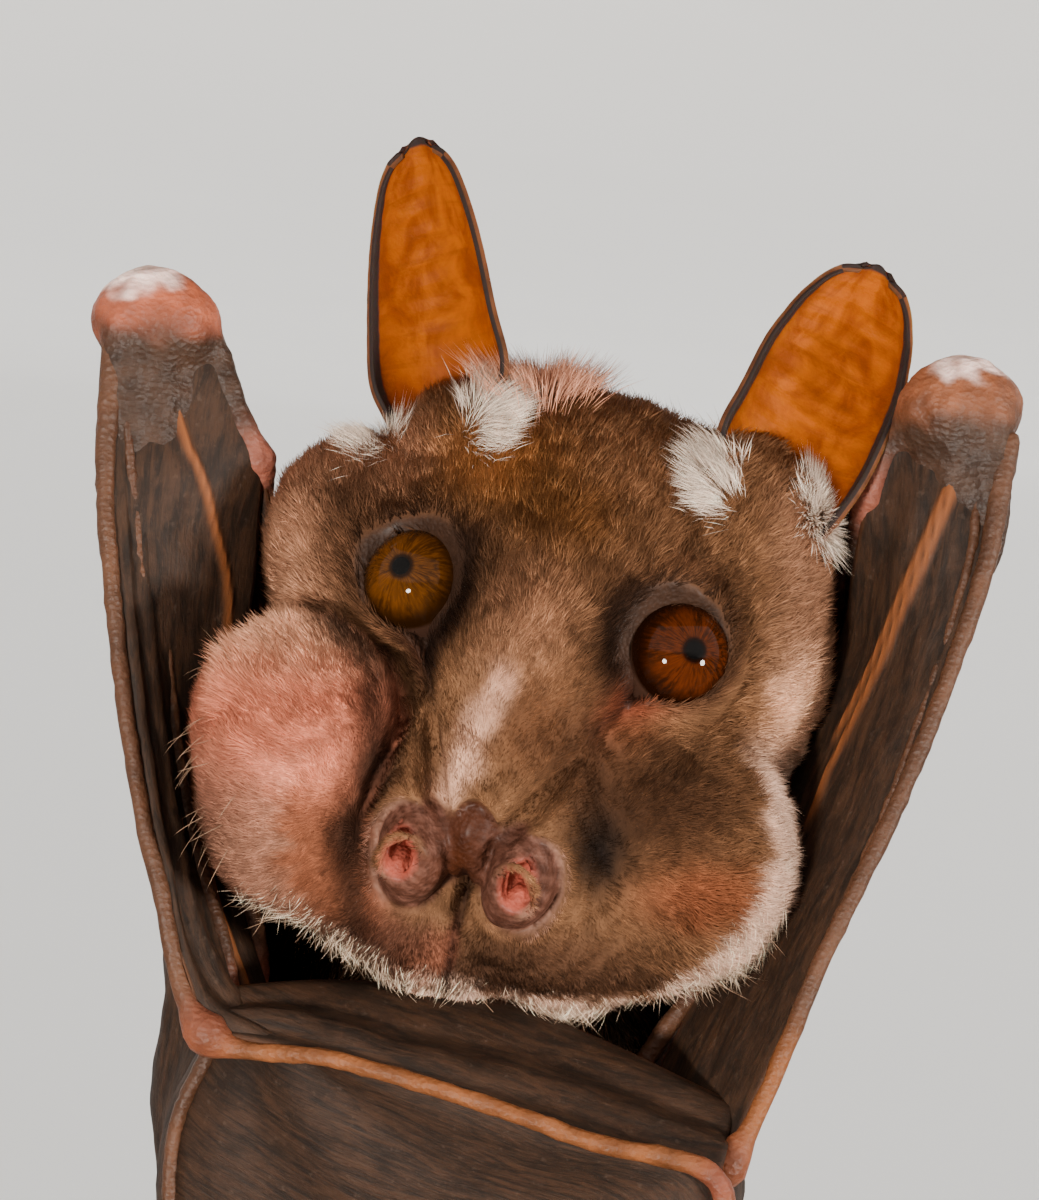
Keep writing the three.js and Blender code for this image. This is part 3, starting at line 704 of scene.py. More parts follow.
def on_nose(h):
    """How far points are on the bare end of the nose, 0 to 1."""
    return 1 - rise(0.1, 0.9, blend(0.5, *(field(h) for field in PADS)))


def on_rim(p):
    """How far points are on the pale hem that runs from the chin up the side of the face."""
    wide = np.where(p[:, 0] > 6.6, 17.0, 30.0)
    out = np.hypot((p[:, 0] - 6.6) / wide, (p[:, 2] + 18.9) / 16.2)
    inner = 0.92 - mix(0.07, 0.16, rise(8, 20, p[:, 0]))
    return rise(inner - 0.04, inner + 0.05, out + 0.02 * waves(p, 3, 14)) * (1 - rise(-17, -10, p[:, 2]))


def fleshy(p):
    """How bare the skin is: 1 on the nose, the lids' edges and the feet, 0 under the coat."""
    h = in_head(p)
    bare = on_nose(h)
    for eye in EYES:
        r, edge = eye.lids(p)
        bare = np.maximum(bare, (1 - rise(0.0, 0.3, edge)) * (1 - rise(1.5, 3, r - EYE_R)))
    return np.maximum(bare, on_foot(p))


def coat_colour(p):
    """The colour of the bat at points of its skin, the same for the skin and for the hair on it, with painted
    shade in hollows and folds of the face and painted light on parts that lie in shade.
    """
    h = in_head(p)
    colour = np.tile(BROWN, (len(p), 1))

    def paint(weight, *tone):
        nonlocal colour
        colour = mix(colour, tint(*tone), np.clip(weight, 0, 1)[:, None])

    uneven = waves(p, 9, 11)
    head = on_head(p, -3, 3)

    # The body: darker on the back, paler over the throat and the nape.
    paint(1 - head, 146, 104, 76)
    paint((1 - head) * rise(24, 36, p[:, 1]), 108, 74, 50)
    paint((1 - head) * (1 - rise(-30, -22, p[:, 2])) * (1 - rise(18, 26, p[:, 1])), 166, 126, 98)
    paint(near(p, 2, 22, 10, 8) * (1 - head), 212, 158, 132)
    plain = colour

    # The head's pale edges, its crown and its forehead; the pale paint on the head's left side is partly the
    # coat's cream and partly painted light.
    # Partly the coat's cream and partly painted light, on the head's left side behind the other cheek, which
    # lies in shade.
    paint(rise(18, 23, p[:, 0]) * rise(-24, -12, p[:, 2]) * (1 - rise(6, 12, p[:, 2])), 140, 100, 76)
    paint(near(p, 22.8, -10, 2.8, 4.5), 240, 184, 148)
    paint((1 - rise(-19, -12, p[:, 0])) * rise(-12, -3, p[:, 2]), 184, 132, 102)
    paint(0.8 * near(p, 10, 12, 9, 5) * head, 138, 96, 66)
    paint(0.9 * near(p, -1.5, 10.5, 5.5, 4) * head, 178, 116, 64)
    paint(0.8 * near(p, 3.5, 6, 4.5, 3.2), 112, 70, 36)
    paint(0.7 * near(p, 0.2, -2.5, 4.5, 5), 156, 110, 82)
    paint(0.7 * near(p, -11.5, 12, 5, 5), 168, 118, 90)

    # The dark flank of the muzzle with painted shade in the hollow where it meets the other cheek, the other
    # cheek and the chin, and the pale stripe down the muzzle.
    paint(0.85 * near(p, 1.5, -10.5, 4.5, 4.2), 92, 58, 37)
    # Painted shade in the hollow between the muzzle's flank and the other cheek.
    paint(0.9 * near(p, 6, -14, 4.6, 6), 64, 40, 25)
    paint(0.92 * near(p, 12, -17, 7.5, 5.5), 54, 33, 20)
    paint(0.8 * near(p, 14.5, -24.2, 5.5, 2.8), 116, 62, 38)
    paint(0.9 * near(p, -0.5, -29.8, 13, 3.4), 66, 43, 30)
    paint(0.8 * along_line(p, (-2.0, -7), (-5.8, -15.8), 1.25 + 0.3 * waves(p, 3, 15)), 216, 164, 136)

    # The stuffed cheek, pink with painted light on its top and brown below, with painted shade in the fold
    # that parts it from the muzzle.
    ball = 1 - rise(0.2, 1.6, full_cheek(p))
    paint(ball, 226, 136, 106)
    # Painted light on the cheek's top, which faces away from the lamps.
    paint(0.9 * ball * rise(-9, -2, p[:, 2]), 253, 188, 150)
    paint(0.9 * ball * (1 - rise(-20, -10, p[:, 2] + 1.2 * uneven)), 118, 70, 46)
    paint(0.85 * near(p, -10.5, -28, 4.5, 3.2), 74, 48, 37)
    # Painted shade along the deep fold between the cheek and the muzzle.
    fold = [(-11.4, -7), (-11.9, -13.5), (-13.6, -19), (-13.2, -26)]
    for start, end in zip(fold[:-1], fold[1:]):
        paint(0.88 * along_line(p, start, end, 2.1), 46, 28, 19)
    # Painted shade in the dimple beside the nose, where the muzzle meets the other cheek.
    paint(0.96 * near(p, 6.4, -20.6, 2.9, 4.2), 18, 11, 7)

    # The lips and the pale hem; the marks of the face end before its back.
    away, shut = mouth_line(h)
    lip = rise(0, 0.6, away) * (1 - rise(2, 4, away)) * (1 - ball) * (1 - rise(-12, -2, h[:, 1]))
    paint(0.6 * lip, 70, 46, 33)
    paint(0.95 * on_rim(p) * (1 - 0.85 * ball), 250, 206, 180)
    colour = mix(plain, colour, (1 - rise(10, 18, p[:, 1]))[:, None])

    # The lids and the eyes' inner corners, with painted shade in the right eye's deep corner.
    for eye in EYES:
        r, edge = eye.lids(p)
        close = 1 - rise(3, 7, r - EYE_R)
        paint(0.7 * (1 - rise(0.2, 1.6, edge + 0.3 * uneven)) * close, 74, 47, 32)
        corner = eye.centre + eye.corner * 6.4 + eye.opens * 2
        # The left eye's corner is reddish flesh; the right eye's deep corner is painted shade.
        tone = (122, 58, 38) if eye.side > 0 else (58, 31, 22)
        paint(0.85 * np.exp(-(((p - corner) ** 2).sum(axis=1) / 6)), *tone)
        paint((1 - rise(-0.1, 0.35, edge)) * close, 30, 19, 14)

    # The nose, its nostrils, the closed mouth and the feet.
    nose = on_nose(h)
    front = 1 - rise(-16, -12, h[:, 1])
    paint(nose, 68, 40, 30)
    paint(0.5 * nose * rise(-0.2, 1, waves(p, 1.3, 16)), 108, 72, 60)
    paint(3.0 * nose * (1 - nose) * front * rise(5.0, 6.6, np.abs(h[:, 0])), 136, 100, 84)
    paint(0.95 * nose * ridge(h[:, 0] + 0.3, 1.6) * front * rise(-15, -12, h[:, 2]), 60, 27, 10)
    paint(0.9 * ridge(h[:, 0], 0.5) * front * (1 - rise(-11.5, -10, h[:, 2])), 34, 18, 13)
    paint((1 - rise(-0.1, 0.6, nostrils(h))) * (1 - rise(-18, -15, h[:, 1])), 140, 66, 52)
    paint((1 - rise(-1.0, -0.2, nostrils(h))) * (1 - rise(-18, -15, h[:, 1])), 76, 26, 18)
    # Painted shade along the slit of the closed mouth.
    paint(0.7 * shut * ridge(away, 0.5), 52, 32, 26)
    paint(0.7 * on_foot(p), 96, 72, 60)
    return np.clip(colour * (1 + 0.12 * uneven + 0.12 * waves(p, 2.2, 12))[:, None], 0.003, 1)


# ---------------------------------------------------------------- the coat

SNOUT_TIP = from_head([0, -21, -8])


def unwrap(p):
    """The skin laid out flat: its turn round the body's long middle line, and its height."""
    share = rise(*NECK, p[:, 2])
    x = p[:, 0] - mix(midline(p[:, 2]), 2.0, share)
    y = p[:, 1] - mix(30.0, 12.0, share)
    return np.stack([0.5 + np.arctan2(x, -y) / 6.2832, (p[:, 2] + 126) / 156], axis=1)


def lie_of_coat(p, normals):
    """The way the hair runs: back from the nose over the head, and down the body."""
    head = on_head(p, -2, 3)[:, None]
    back = unit(p - SNOUT_TIP)
    middle = np.stack([np.full(len(p), 2.0), np.full(len(p), 22.0), np.full(len(p), -4.0)], axis=1)
    spread_out = unit(p - middle) + [0, 0.2, 0.3]
    down = np.stack([0 * p[:, 0], 0.25 + 0 * p[:, 0], -1 + 0 * p[:, 0]], axis=1)
    body = mix(down, spread_out, rise(-18, 2, p[:, 2])[:, None])
    return square_to(mix(body, back, head) + 0.25 * normals, normals)


class Coat:
    """Roots, spread over the skin, and the hair that grows from them."""

    def __init__(self, skin, seed):
        quads = skin.faces[0]
        self.triangles = skin.points[np.concatenate([quads[:, [0, 1, 2]], quads[:, [0, 2, 3]]])]
        a, b, c = self.triangles.transpose(1, 0, 2)
        self.area = np.linalg.norm(np.cross(b - a, c - a), axis=1) / 2
        self.middle = (a + b + c) / 3
        self.rng = np.random.default_rng(seed)

    def roots(self, density):
        """Points on the skin; density gives how many to a square millimetre, at points."""
        count = self.rng.poisson(self.area * density(self.middle) * SHARE)
        chosen = np.repeat(np.arange(len(count)), count)
        u, w = self.rng.random((2, len(chosen), 1))
        over = (u + w) > 1
        u, w = np.where(over, 1 - u, u), np.where(over, 1 - w, w)
        a, b, c = self.triangles[chosen].transpose(1, 0, 2)
        return a + u * (b - a) + w * (c - a)

    def grow(self, roots, length, width, lift, bends=2, curl=1.2, stray=0.2,
             way=None, colour=None, bright=1.45):
        """Hair in tufts, each a thin three-sided blade that leaves the skin and leans back to it."""
        rng, count = self.rng, len(roots)
        normals = unit(slope(skin_field, roots, 0.25))
        lie = lie_of_coat(roots, normals) if way is None else square_to(way, normals)
        side = np.cross(normals, lie)
        sway = 0.3 * waves(roots, 3.5, 21) + stray * rng.normal(size=count)
        lie = lie * np.cos(sway)[:, None] + side * np.sin(sway)[:, None]
        side = np.cross(normals, lie)
        length = length * rng.uniform(0.65, 1.25, count)
        width = width * rng.uniform(0.7, 1.3, count)
        lift = lift * rng.uniform(0.6, 1.3, count)
        centre = roots - 0.12 * normals
        rows = []
        turns = np.array([math.pi / 2, math.pi * 7 / 6, math.pi * 11 / 6])
        for step in range(bends + 1):
            share = step / bends
            angle = (lift * (1 - curl * share))[:, None]
            ahead = lie * np.cos(angle) + normals * np.sin(angle)
            up = normals * np.cos(angle) - lie * np.sin(angle)
            if step == bends:
                rows.append(centre[:, None, :])
                break
            r = (width * (0.8 if step == 0 else 1.0 - 0.45 * share))[:, None, None] / 2
            across = np.cos(turns)[None, :, None] * side[:, None]
            outward = 0.55 * np.sin(turns)[None, :, None] * up[:, None]
            rows.append(centre[:, None] + r * (across + outward))
            centre = centre + ahead * (length / bends)[:, None]
        points = np.concatenate(rows, axis=1)
        size = points.shape[1]
        pattern = [[2, 1, 0]]
        for row in range(bends - 1):
            for k in range(3):
                a, b = 3 * row + k, 3 * row + (k + 1) % 3
                pattern += [[a, b, b + 3], [a, b + 3, a + 3]]
        last = 3 * (bends - 1)
        pattern += [[last + k, last + (k + 1) % 3, size - 1] for k in range(3)]
        faces = (np.arange(count)[:, None, None] * size + np.array(pattern)[None]).reshape(-1, 3)
        tone = coat_colour(roots) if colour is None else np.tile(colour, (count, 1))
        tone = tone * (rng.uniform(0.6, 1.4, count) * (1 + 0.22 * waves(roots, 1.1, 23)))[:, None]
        # Painted shade: each tuft darker towards its root, deep in the coat.
        shade = np.repeat(np.linspace(0.75, 1.0, bends), 3)
        tips = tone * np.minimum(bright, 0.85 / tone.max(axis=1))[:, None]
        paint = np.concatenate([tone[:, None, :] * shade[None, :, None], tips[:, None, :]], axis=1)
        paint = np.clip(paint, 0.002, 1).reshape(-1, 3)
        between_ends = [[-1, 0], [1, 0], [0, 0.4]] * (bends - 1)
        patch = np.array([[-1, -1], [1, -1], [0, -0.6], *between_ends, [0, 1]]) * TUFT_PATCH
        laid = np.clip(unwrap(roots)[:, None, :] + patch[None], 0.0005, 0.9995).reshape(-1, 2)
        return Shape(points.reshape(-1, 3), [faces], {"OFBake": laid}, coat=paint)


def in_pieces(name, shape, size, finish, slot="fur"):
    """Makes a coat in pieces that are small enough, each a run of neighbouring tufts."""
    tufts = len(shape.points) // size
    faces_each = len(shape.faces[0]) // tufts
    parts = math.ceil(tufts / (MOST_FACES // faces_each))
    order = np.argsort(shape.uv["OFBake"][::size, 1], kind="stable")
    for number, chosen in enumerate(np.array_split(order, parts), start=1):
        rows = (chosen[:, None] * size + np.arange(size)).ravel()
        pattern = shape.faces[0][:faces_each]
        faces = (np.arange(len(chosen))[:, None, None] * size + pattern[None]).reshape(-1, 3)
        laid = {"OFBake": shape.uv["OFBake"][rows]}
        part = Shape(shape.points[rows], [faces], laid, coat=shape.paint["coat"][rows])
        part.piece(name if parts == 1 else f"{name}_{number}", finish, slot, [])


def grow_coat(skin, hair):
    coat = Coat(skin, 7)

    def furred(p):
        away, shut = mouth_line(in_head(p))
        return (1 - fleshy(p)) * (1 - rise(0.4, 0.8, 0.45 * ridge(away, 0.6) * shut))

    def face_hair(p):
        seen = 0.2 + 0.8 * (1 - rise(5, 14, p[:, 1]))
        lids = sum(1 - rise(0.5, 2, np.abs(eye.lids(p)[1] - 1)) for eye in EYES)
        return (32 + 22 * lids) * on_head(p, -2, 2) * furred(p) * seen

    def body_hair(p):
        mane = rise(-30, -16, p[:, 2])
        return (5.5 + 7 * mane * (1 - rise(20, 32, p[:, 1]))) * (1 - on_head(p, -2, 2)) * furred(p)

    roots = coat.roots(face_hair)
    from_tip = np.linalg.norm(roots - SNOUT_TIP, axis=1)
    edge = rise(10, 26, from_tip)
    ball = 1 - rise(0.5, 2, full_cheek(roots))
    length = (mix(0.8, 1.9, edge) + 0.2 * ball) * (1 + 0.15 * waves(roots, 5, 31))
    width = mix(0.125, 0.175, edge)
    lift = mix(0.26, 0.36, edge)
    in_pieces("coat_face", coat.grow(roots, length, width, lift, bends=1, stray=0.25), 4, hair)

    roots = coat.roots(body_hair)
    mane = rise(-34, -14, roots[:, 2])
    length = mix(4.6, 4.0, mane) * (1 + 0.15 * waves(roots, 7, 32))
    width = mix(0.36, 0.24, mane)
    lift = mix(0.3, 0.5, mane)
    in_pieces("coat_body", coat.grow(roots, length, width, lift, bends=1, stray=0.2, bright=1.25), 4, hair)

    def hemmed(p):
        return 15 * on_rim(p) * (1 - rise(-27, -22, p[:, 2])) * (1 - rise(2, 7, p[:, 1]))

    roots = coat.roots(hemmed)
    count = len(roots)
    rng = np.random.default_rng(9)
    down = np.stack([0.03 * (roots[:, 0] - 3), np.full(count, -0.3), np.full(count, -1.0)], axis=1)
    length = 0.9 + 2.4 * rng.random(count) ** 3
    fringe = coat.grow(roots, length, 0.05, 0.5, curl=0.7, stray=0.25, way=down,
                       colour=tint(240, 210, 182), bright=1.1)
    in_pieces("chin_fringe", fringe, 7, hair)

    def whiskery(p):
        side = ridge(p[:, 0] + 25.5, 2.2) * ridge(p[:, 2] + 16, 9)
        chin = 0.8 * on_rim(p) * (1 - rise(-27, -22, p[:, 2]))
        return 0.3 * (0.7 * side + chin) * (1 - rise(4, 10, p[:, 1])) / SHARE

    roots = coat.roots(whiskery)
    way = unit(roots - SNOUT_TIP) + [0, 0, -0.8]
    whiskers = coat.grow(roots, 4.4, 0.05, 0.7, bends=5, curl=0.6, stray=0.3, way=way,
                         colour=tint(176, 142, 116), bright=1.0)
    in_pieces("whiskers", whiskers, 16, hair)
    return coat


# ---------------------------------------------------------------- eyes and ears


def make_eye(eye, finish):
    """An eyeball with a slightly raised front; iris tells where each point lies about the gaze."""
    polar = np.radians(np.concatenate([np.linspace(0.6, 75, 44), np.linspace(80, 179, 14)]))
    turns = round_turn(72)
    side = square_to(np.array([1.0, 0, 0]), eye.gaze)
    up = np.cross(eye.gaze, side)
    bulge = EYE_R * (1 + 0.035 * (1 - rise(0.35, 0.95, polar)))
    ring = np.cos(turns)[:, None] * side + np.sin(turns)[:, None] * up
    ahead = np.cos(polar)[:, None, None] * eye.gaze
    rows = bulge[:, None, None] * (ahead + np.sin(polar)[:, None, None] * ring)
    count = len(turns)
    points = np.vstack([eye.gaze * bulge[0], rows.reshape(-1, 3), -eye.gaze * EYE_R]) + eye.centre
    front = fan(0, 1, count)
    back = fan(len(points) - 1, 1 + (len(polar) - 1) * count, count, flip=True)
    quads = 1 + ring_faces(len(polar), count)[:, ::-1]
    mark = np.stack([
        np.tile(np.cos(turns) * 0.5 + 0.5, len(polar)),
        np.tile(np.sin(turns) * 0.5 + 0.5, len(polar)),
        np.repeat(polar / math.pi, count),
    ], axis=1)
    mark = np.vstack([[0.5, 0.5, 0], mark, [0.5, 0.5, 1]])
    name = SIDE_NAME[eye.side]
    Shape(points, [quads, front, back], iris=mark).piece(f"eyeball_{name}", finish, "eye", [f"eye_{name}"])


EAR_WIDTH = {
    -1: [(0, 4.0), (0.11, 5.2), (0.24, 5.8), (0.43, 5.5), (0.64, 4.9), (0.86, 3.7), (0.95, 2.7), (1, 1.4)],
    1: [(0, 4.8), (0.12, 5.6), (0.32, 6.2), (0.52, 6.2), (0.72, 5.5), (0.87, 4.3), (0.96, 2.9), (1, 1.3)],
}


def smooth_station(rows, at):
    dots = Path([(place, value, 0) for place, value in rows]).dots
    return np.interp(at, dots[:, 0], dots[:, 1])


class Ear:
    """One ear: its root and the ways along it, across it to the crown, and out of its hollow."""

    def __init__(self, side):
        self.side = side
        self.name = SIDE_NAME[side]
        self.root = from_head([-13.3 if side < 0 else 14.2, 15.5, 7])
        tip = np.array([-9.2, 13, 40.4] if side < 0 else [31, 12, 29.6])
        self.length = np.linalg.norm(tip - self.root)
        self.along = unit(tip - self.root)
        self.out = square_to(np.array([-0.42, -1, 0.1] if side < 0 else [0.1, -1, 0.1]), self.along)
        self.across = np.cross(self.along, self.out) * -side

    def shape(self):
        s = np.concatenate([np.linspace(0, 0.9, 76, endpoint=False), np.linspace(0.9, 1, 16)])[:, None]
        t = np.sin(np.linspace(-1, 1, 53) * math.pi / 2)[None, :]
        half = smooth_station(EAR_WIDTH[self.side], s)
        curl = mix(1.25, 0.55, s)
        lobe = 0.5 * ridge(s - 0.2, 0.13) * rise(0.5, 1, t)
        sideways = np.sin(t * curl) / np.sin(curl) * half + lobe
        forward = (1 - np.cos(t * curl)) / np.sin(curl) * half - 1.2
        inner = 1 - np.abs(t) ** 4
        waver = 0.9 * np.sin(3.1 * t + 5 * s) + 0.5 * np.sin(7 * s + 2 * t)
        ridges = np.sin(s * 2 * math.pi * 13 + waver) * rise(0.2, 0.35, s) * (1 - rise(0.8, 0.97, s))
        forward = forward + 0.09 * ridges * inner - 0.8 * ridge(s - 0.12, 0.12) * inner
        forward = forward + 0.35 * ridge(1 - np.abs(t), 0.05) * rise(0.05, 0.3, s)
        lift = s * self.length * (1 - 0.05 * t * t) - 1.5
        rows = self.root + lift[..., None] * self.along
        rows = rows + sideways[..., None] * self.across + forward[..., None] * self.out
        rim = np.maximum(ridge(1 - np.abs(t), 0.1), ridge(1 - s, 0.03))
        lay = np.stack([0 * s + t, s + 0 * t], axis=-1)
        thick = 0.34 + 0.4 * rim
        return sheet_of(rows, thick, {"lay": lay}, self.out, rim=rim)

    def make(self, finish):
        self.shape().piece(f"ear_shell_{self.name}", finish, "ear_skin", [f"ear_{self.name}"])


EAR_TUFTS = {
    "outer_right": ((-12.3, 14.6), (-0.6, -0.3, 0.9)),
    "inner_right": ((-2.6, 15.0), (0.3, -0.4, 0.8)),
    "inner_left": ((16.3, 9.6), (-0.4, -0.4, 0.9)),
    "outer_left": ((25.4, 7.8), (0.8, -0.3, 0.4)),
}


def grow_ear_tufts(coat, hair):
    """The two white tufts at the foot of each ear, one at each edge of its hollow, and the nape's."""
    for name, ((x, z), way) in EAR_TUFTS.items():
        found = coat.roots(lambda p: 125 * near(p, x, z, 1.6, 2.4) * (1 - rise(14, 20, p[:, 1])))
        spread_out = (found - [x, 8, z]) * [0.22, 0.1, 0.22]
        tuft = coat.grow(found, 3.0, 0.055, 0.7, curl=0.7, stray=0.18, way=np.array(way) + spread_out,
                         colour=tint(230, 208, 190), bright=1.1)
        in_pieces(f"ear_tuft_{name}", tuft, 7, hair)
    found = coat.roots(lambda p: 34 * near(p, 1.4, 18.2, 3.6, 2.6))
    way = (found - [2, 12, 10]) * [0.08, 0.04, 0] + [0, 0, 1]
    tuft = coat.grow(found, 4.2, 0.07, 0.9, curl=0.5, stray=0.15, way=way,
                     colour=tint(206, 146, 118), bright=1.0)
    in_pieces("nape_tuft", tuft, 7, hair)


# ---------------------------------------------------------------- wings

WING = {
    -1: {
        "wrist": (-30.4, 6, 22.6), "elbow": (-15, 44, -53), "shoulder": (-14, 25, -20),
        "three": [
            (-33.4, 3.5, 21.4), (-34.1, 1.5, 10), (-33.3, 0, 0), (-31.8, -1.5, -12), (-29.5, -3, -23),
            (-25.5, -4, -35.3), (-15, -7.5, -37.2), (-3, -9.5, -40.6), (5.5, -9.8, -43.6), (16.2, -9, -47.2),
            (14, -8, -58), (6, -5, -76), (-2, -1, -93),
        ],
        "four": [
            (-30.6, 4.5, 19), (-29.8, 3.5, 2), (-27.4, 3, -18), (-24, 2.6, -33),
            (-28.4, 3.5, -44), (-28.2, 6, -60), (-22, 8, -82), (-15.5, 10, -99),
        ],
        "five": [
            (-28.3, 7, 18), (-27.3, 7.5, 2), (-24.8, 8, -16), (-21.8, 8.6, -31.5),
            (-27.5, 13, -45), (-28, 18, -62), (-22.5, 22, -84), (-18.5, 25, -101),
        ],
        "thumb": [(-26.4, 7, 23), (-23.6, 6.8, 16), (-21.6, 7.6, 11.6), (-21.6, 11.5, 8), (-22.4, 14.6, 4.6)],
        "inner": [
            (-26, 6.2, 22.5), (-23.6, 6.4, 16), (-21.5, 7.2, 11.6), (-21.7, 9.5, 6), (-22.3, 10.5, 0),
            (-24, 9.6, -7), (-24.6, 8.8, -15), (-23.6, 8, -23), (-20.5, 7, -33.5),
        ],
    },
    1: {
        "wrist": (36.6, 6, 15.2), "elbow": (12, 47, -51), "shoulder": (14, 25, -21),
        "three": [
            (40.2, 3.5, 13), (38.5, 1.5, 3.5), (35.3, 0, -6), (31, -1.5, -16.5), (25.1, -3, -28.5),
            (16.8, -4, -46), (9, -2.6, -52), (0, -0.2, -57), (-9, 2.4, -62), (-17.5, 5.4, -67),
            (-19, 8, -75), (-17, 11, -87), (-14, 14, -99),
        ],
        "four": [
            (37, 4.5, 11.6), (32.6, 3.9, -5), (25, 3.8, -24), (13.5, 4.4, -43.6),
            (11.5, 6.8, -54), (7.5, 9.6, -67), (0, 13, -84), (-5.5, 17, -99),
        ],
        "five": [
            (35, 7, 10.6), (30.6, 7.5, -5), (22.4, 8, -23), (9.6, 8.8, -41),
            (14, 12.5, -53), (13.8, 17.5, -67), (6.5, 22.5, -85), (-0.5, 28, -101),
        ],
        "thumb": [(33, 7, 15.6), (30.8, 7.2, 12.5), (29.2, 8, 8.8), (28.2, 11, 4.5), (28, 13, 0)],
        "inner": [
            (32, 6.5, 15.5), (30.4, 6.8, 12), (28.9, 7.6, 8.5), (27.8, 10, 3), (26.8, 11.5, -3),
            (24.5, 11, -10), (21.5, 10, -18), (17, 8.5, -28), (11, 7, -40),
        ],
    },
}
FINGER_R = {
    "three": [1.1, 0.8, 0.72, 0.72, 0.72, 0.75, 0.72, 0.72, 0.75, 0.95, 0.6, 0.5, 0.4],
    "four": [0.95, 0.6, 0.6, 0.95, 0.7, 0.6, 0.5, 0.4],
    "five": [0.95, 0.6, 0.6, 0.95, 0.7, 0.6, 0.5, 0.4],
    "two": [0.6, 0.45, 0.42, 0.4, 0.3],
}
# Thin rays in the wing's near side, as rows of (share along it, share across it).
# The first is the second finger.
RAYS = {
    -1: [
        [(0, 0.1), (0.15, 0.16), (0.35, 0.2), (0.55, 0.17), (0.75, 0.1)],
        [(0, 0.54), (0.17, 0.57), (0.37, 0.8), (0.6, 0.95)],
        [(0.62, 0.62), (0.8, 0.7), (1, 0.75)],
        [(0.7, 0.42), (0.85, 0.5), (1, 0.55)],
    ],
    1: [
        [(0, 0.2), (0.08, 0.17), (0.15, 0.13), (0.3, 0.11), (0.43, 0.09), (0.52, 0.07), (0.7, 0.04)],
        [(0, 0.3), (0.15, 0.41), (0.3, 0.52), (0.4, 0.59), (0.5, 0.65), (0.6, 0.65)],
        [(0.02, 0.36), (0.15, 0.46), (0.3, 0.58), (0.4, 0.66), (0.48, 0.72)],
    ],
}
BONE_SKIN = tint(70, 44, 29)
# A golden painted highlight for the front of the bent finger below the hand.
BENT_FINGER_HIGHLIGHT = tint(104, 60, 31)
JOINT_SKIN = tint(112, 58, 42)


def bone_paint(points, joints, size=2.4):
    """Brown skin over a bone, with a golden painted highlight on the bent finger below the hand, pinker over
    the joints.
    """
    close = np.zeros(len(points))
    for joint in joints:
        close = np.maximum(close, ridge(np.linalg.norm(points - joint, axis=1), size))
    # The bent finger's front gets the golden painted highlight.
    bent = (1 - rise(-37, -33, points[:, 2])) * (1 - rise(-3.5, -1.5, points[:, 1]))
    colour = mix(mix(BONE_SKIN, BENT_FINGER_HIGHLIGHT, bent[:, None]), JOINT_SKIN, close[:, None])
    return np.clip(colour * (1 + 0.2 * waves(points, 4, 51)[:, None]), 0.004, 1)


def wing_points(side):
    return {key: np.array(value, float) for key, value in WING[side].items()}


def bone(points, radii, rows, joints, knob=None):
    """A finger bone; knob is where its knuckle stands out as a round lump."""
    sides = 14
    centres = Path(points).by_point(np.linspace(0, 1, rows))
    thick = spread(radii, rows)
    if knob is not None:
        thick = thick + 1.15 * ridge(np.linalg.norm(centres - knob, axis=1), 1.9)
    shape = tube(centres, thick, sides)
    middle = shape.points.copy()
    lean_out = unit(middle - centres[np.clip(np.arange(len(middle)) // sides - 2, 0, rows - 1)])
    shape.points = middle + 0.06 * lean_out * waves(middle, 1.6, 52)[:, None]
    shape.paint = {"coat": bone_paint(shape.points, joints)}
    return shape


def membrane(first, second, size, sag, trim, pleats, seed, rays=()):
    """A thin wing skin between two paths, with pleats and creases that run along it, and raised rays."""
    rows, columns = size
    across = np.linspace(0, 1, rows)
    along = np.linspace(trim[0], trim[1], columns)
    grid = between(first, second, across, along)
    belly = np.sin(math.pi * across)[:, None] * np.sin(math.pi * np.minimum(1, along * 1.25))[None, :]
    grid = grid + belly[..., None] * np.asarray(sag, float)
    normal = unit(np.cross(np.gradient(grid, axis=0), np.gradient(grid, axis=1)))
    run = np.linalg.norm(np.diff(grid, axis=0), axis=2).sum(axis=0)
    flat = grid.reshape(-1, 3)
    drift = waves(flat, 24, seed).reshape(rows, columns) * 0.5
    held = np.sin(math.pi * across)[:, None] ** 0.7
    u = across[:, None] + 0.06 * drift
    fold = np.sin(u * 2 * math.pi * pleats + drift) * np.minimum(0.42, run / (pleats * 9))[None, :]
    crease = 0.1 * np.sin(u * 2 * math.pi * pleats * 3.3 + 2 * drift)
    crease = crease + 0.07 * waves(flat, 3.4, seed + 1).reshape(rows, columns)
    raised = np.zeros((rows, columns))
    for ray in rays:
        place, share = np.array(ray).T
        aside = (across[:, None] - np.interp(along, place, share)) * run
        shown = rise(place[0] - 0.03, place[0], along) * (1 - rise(place[-1] - 0.05, place[-1], along))
        raised = np.maximum(raised, ridge(aside, 0.3) * shown)
    toward_front = -np.sign(normal[..., 1])
    grid = grid + normal * ((fold + crease) * held + 0.35 * raised * toward_front)[..., None]
    far_along = 0 * across[:, None] + along * Path(first).length
    lay = np.stack([across[:, None] * run[None, :], far_along], axis=-1)
    edge = np.clip(np.minimum(across, 1 - across)[:, None] * run[None, :] / 4, 0, 1)
    return sheet_of(grid, np.full((rows, columns), 0.3), {"lay": lay}, edge=edge, ray=raised)


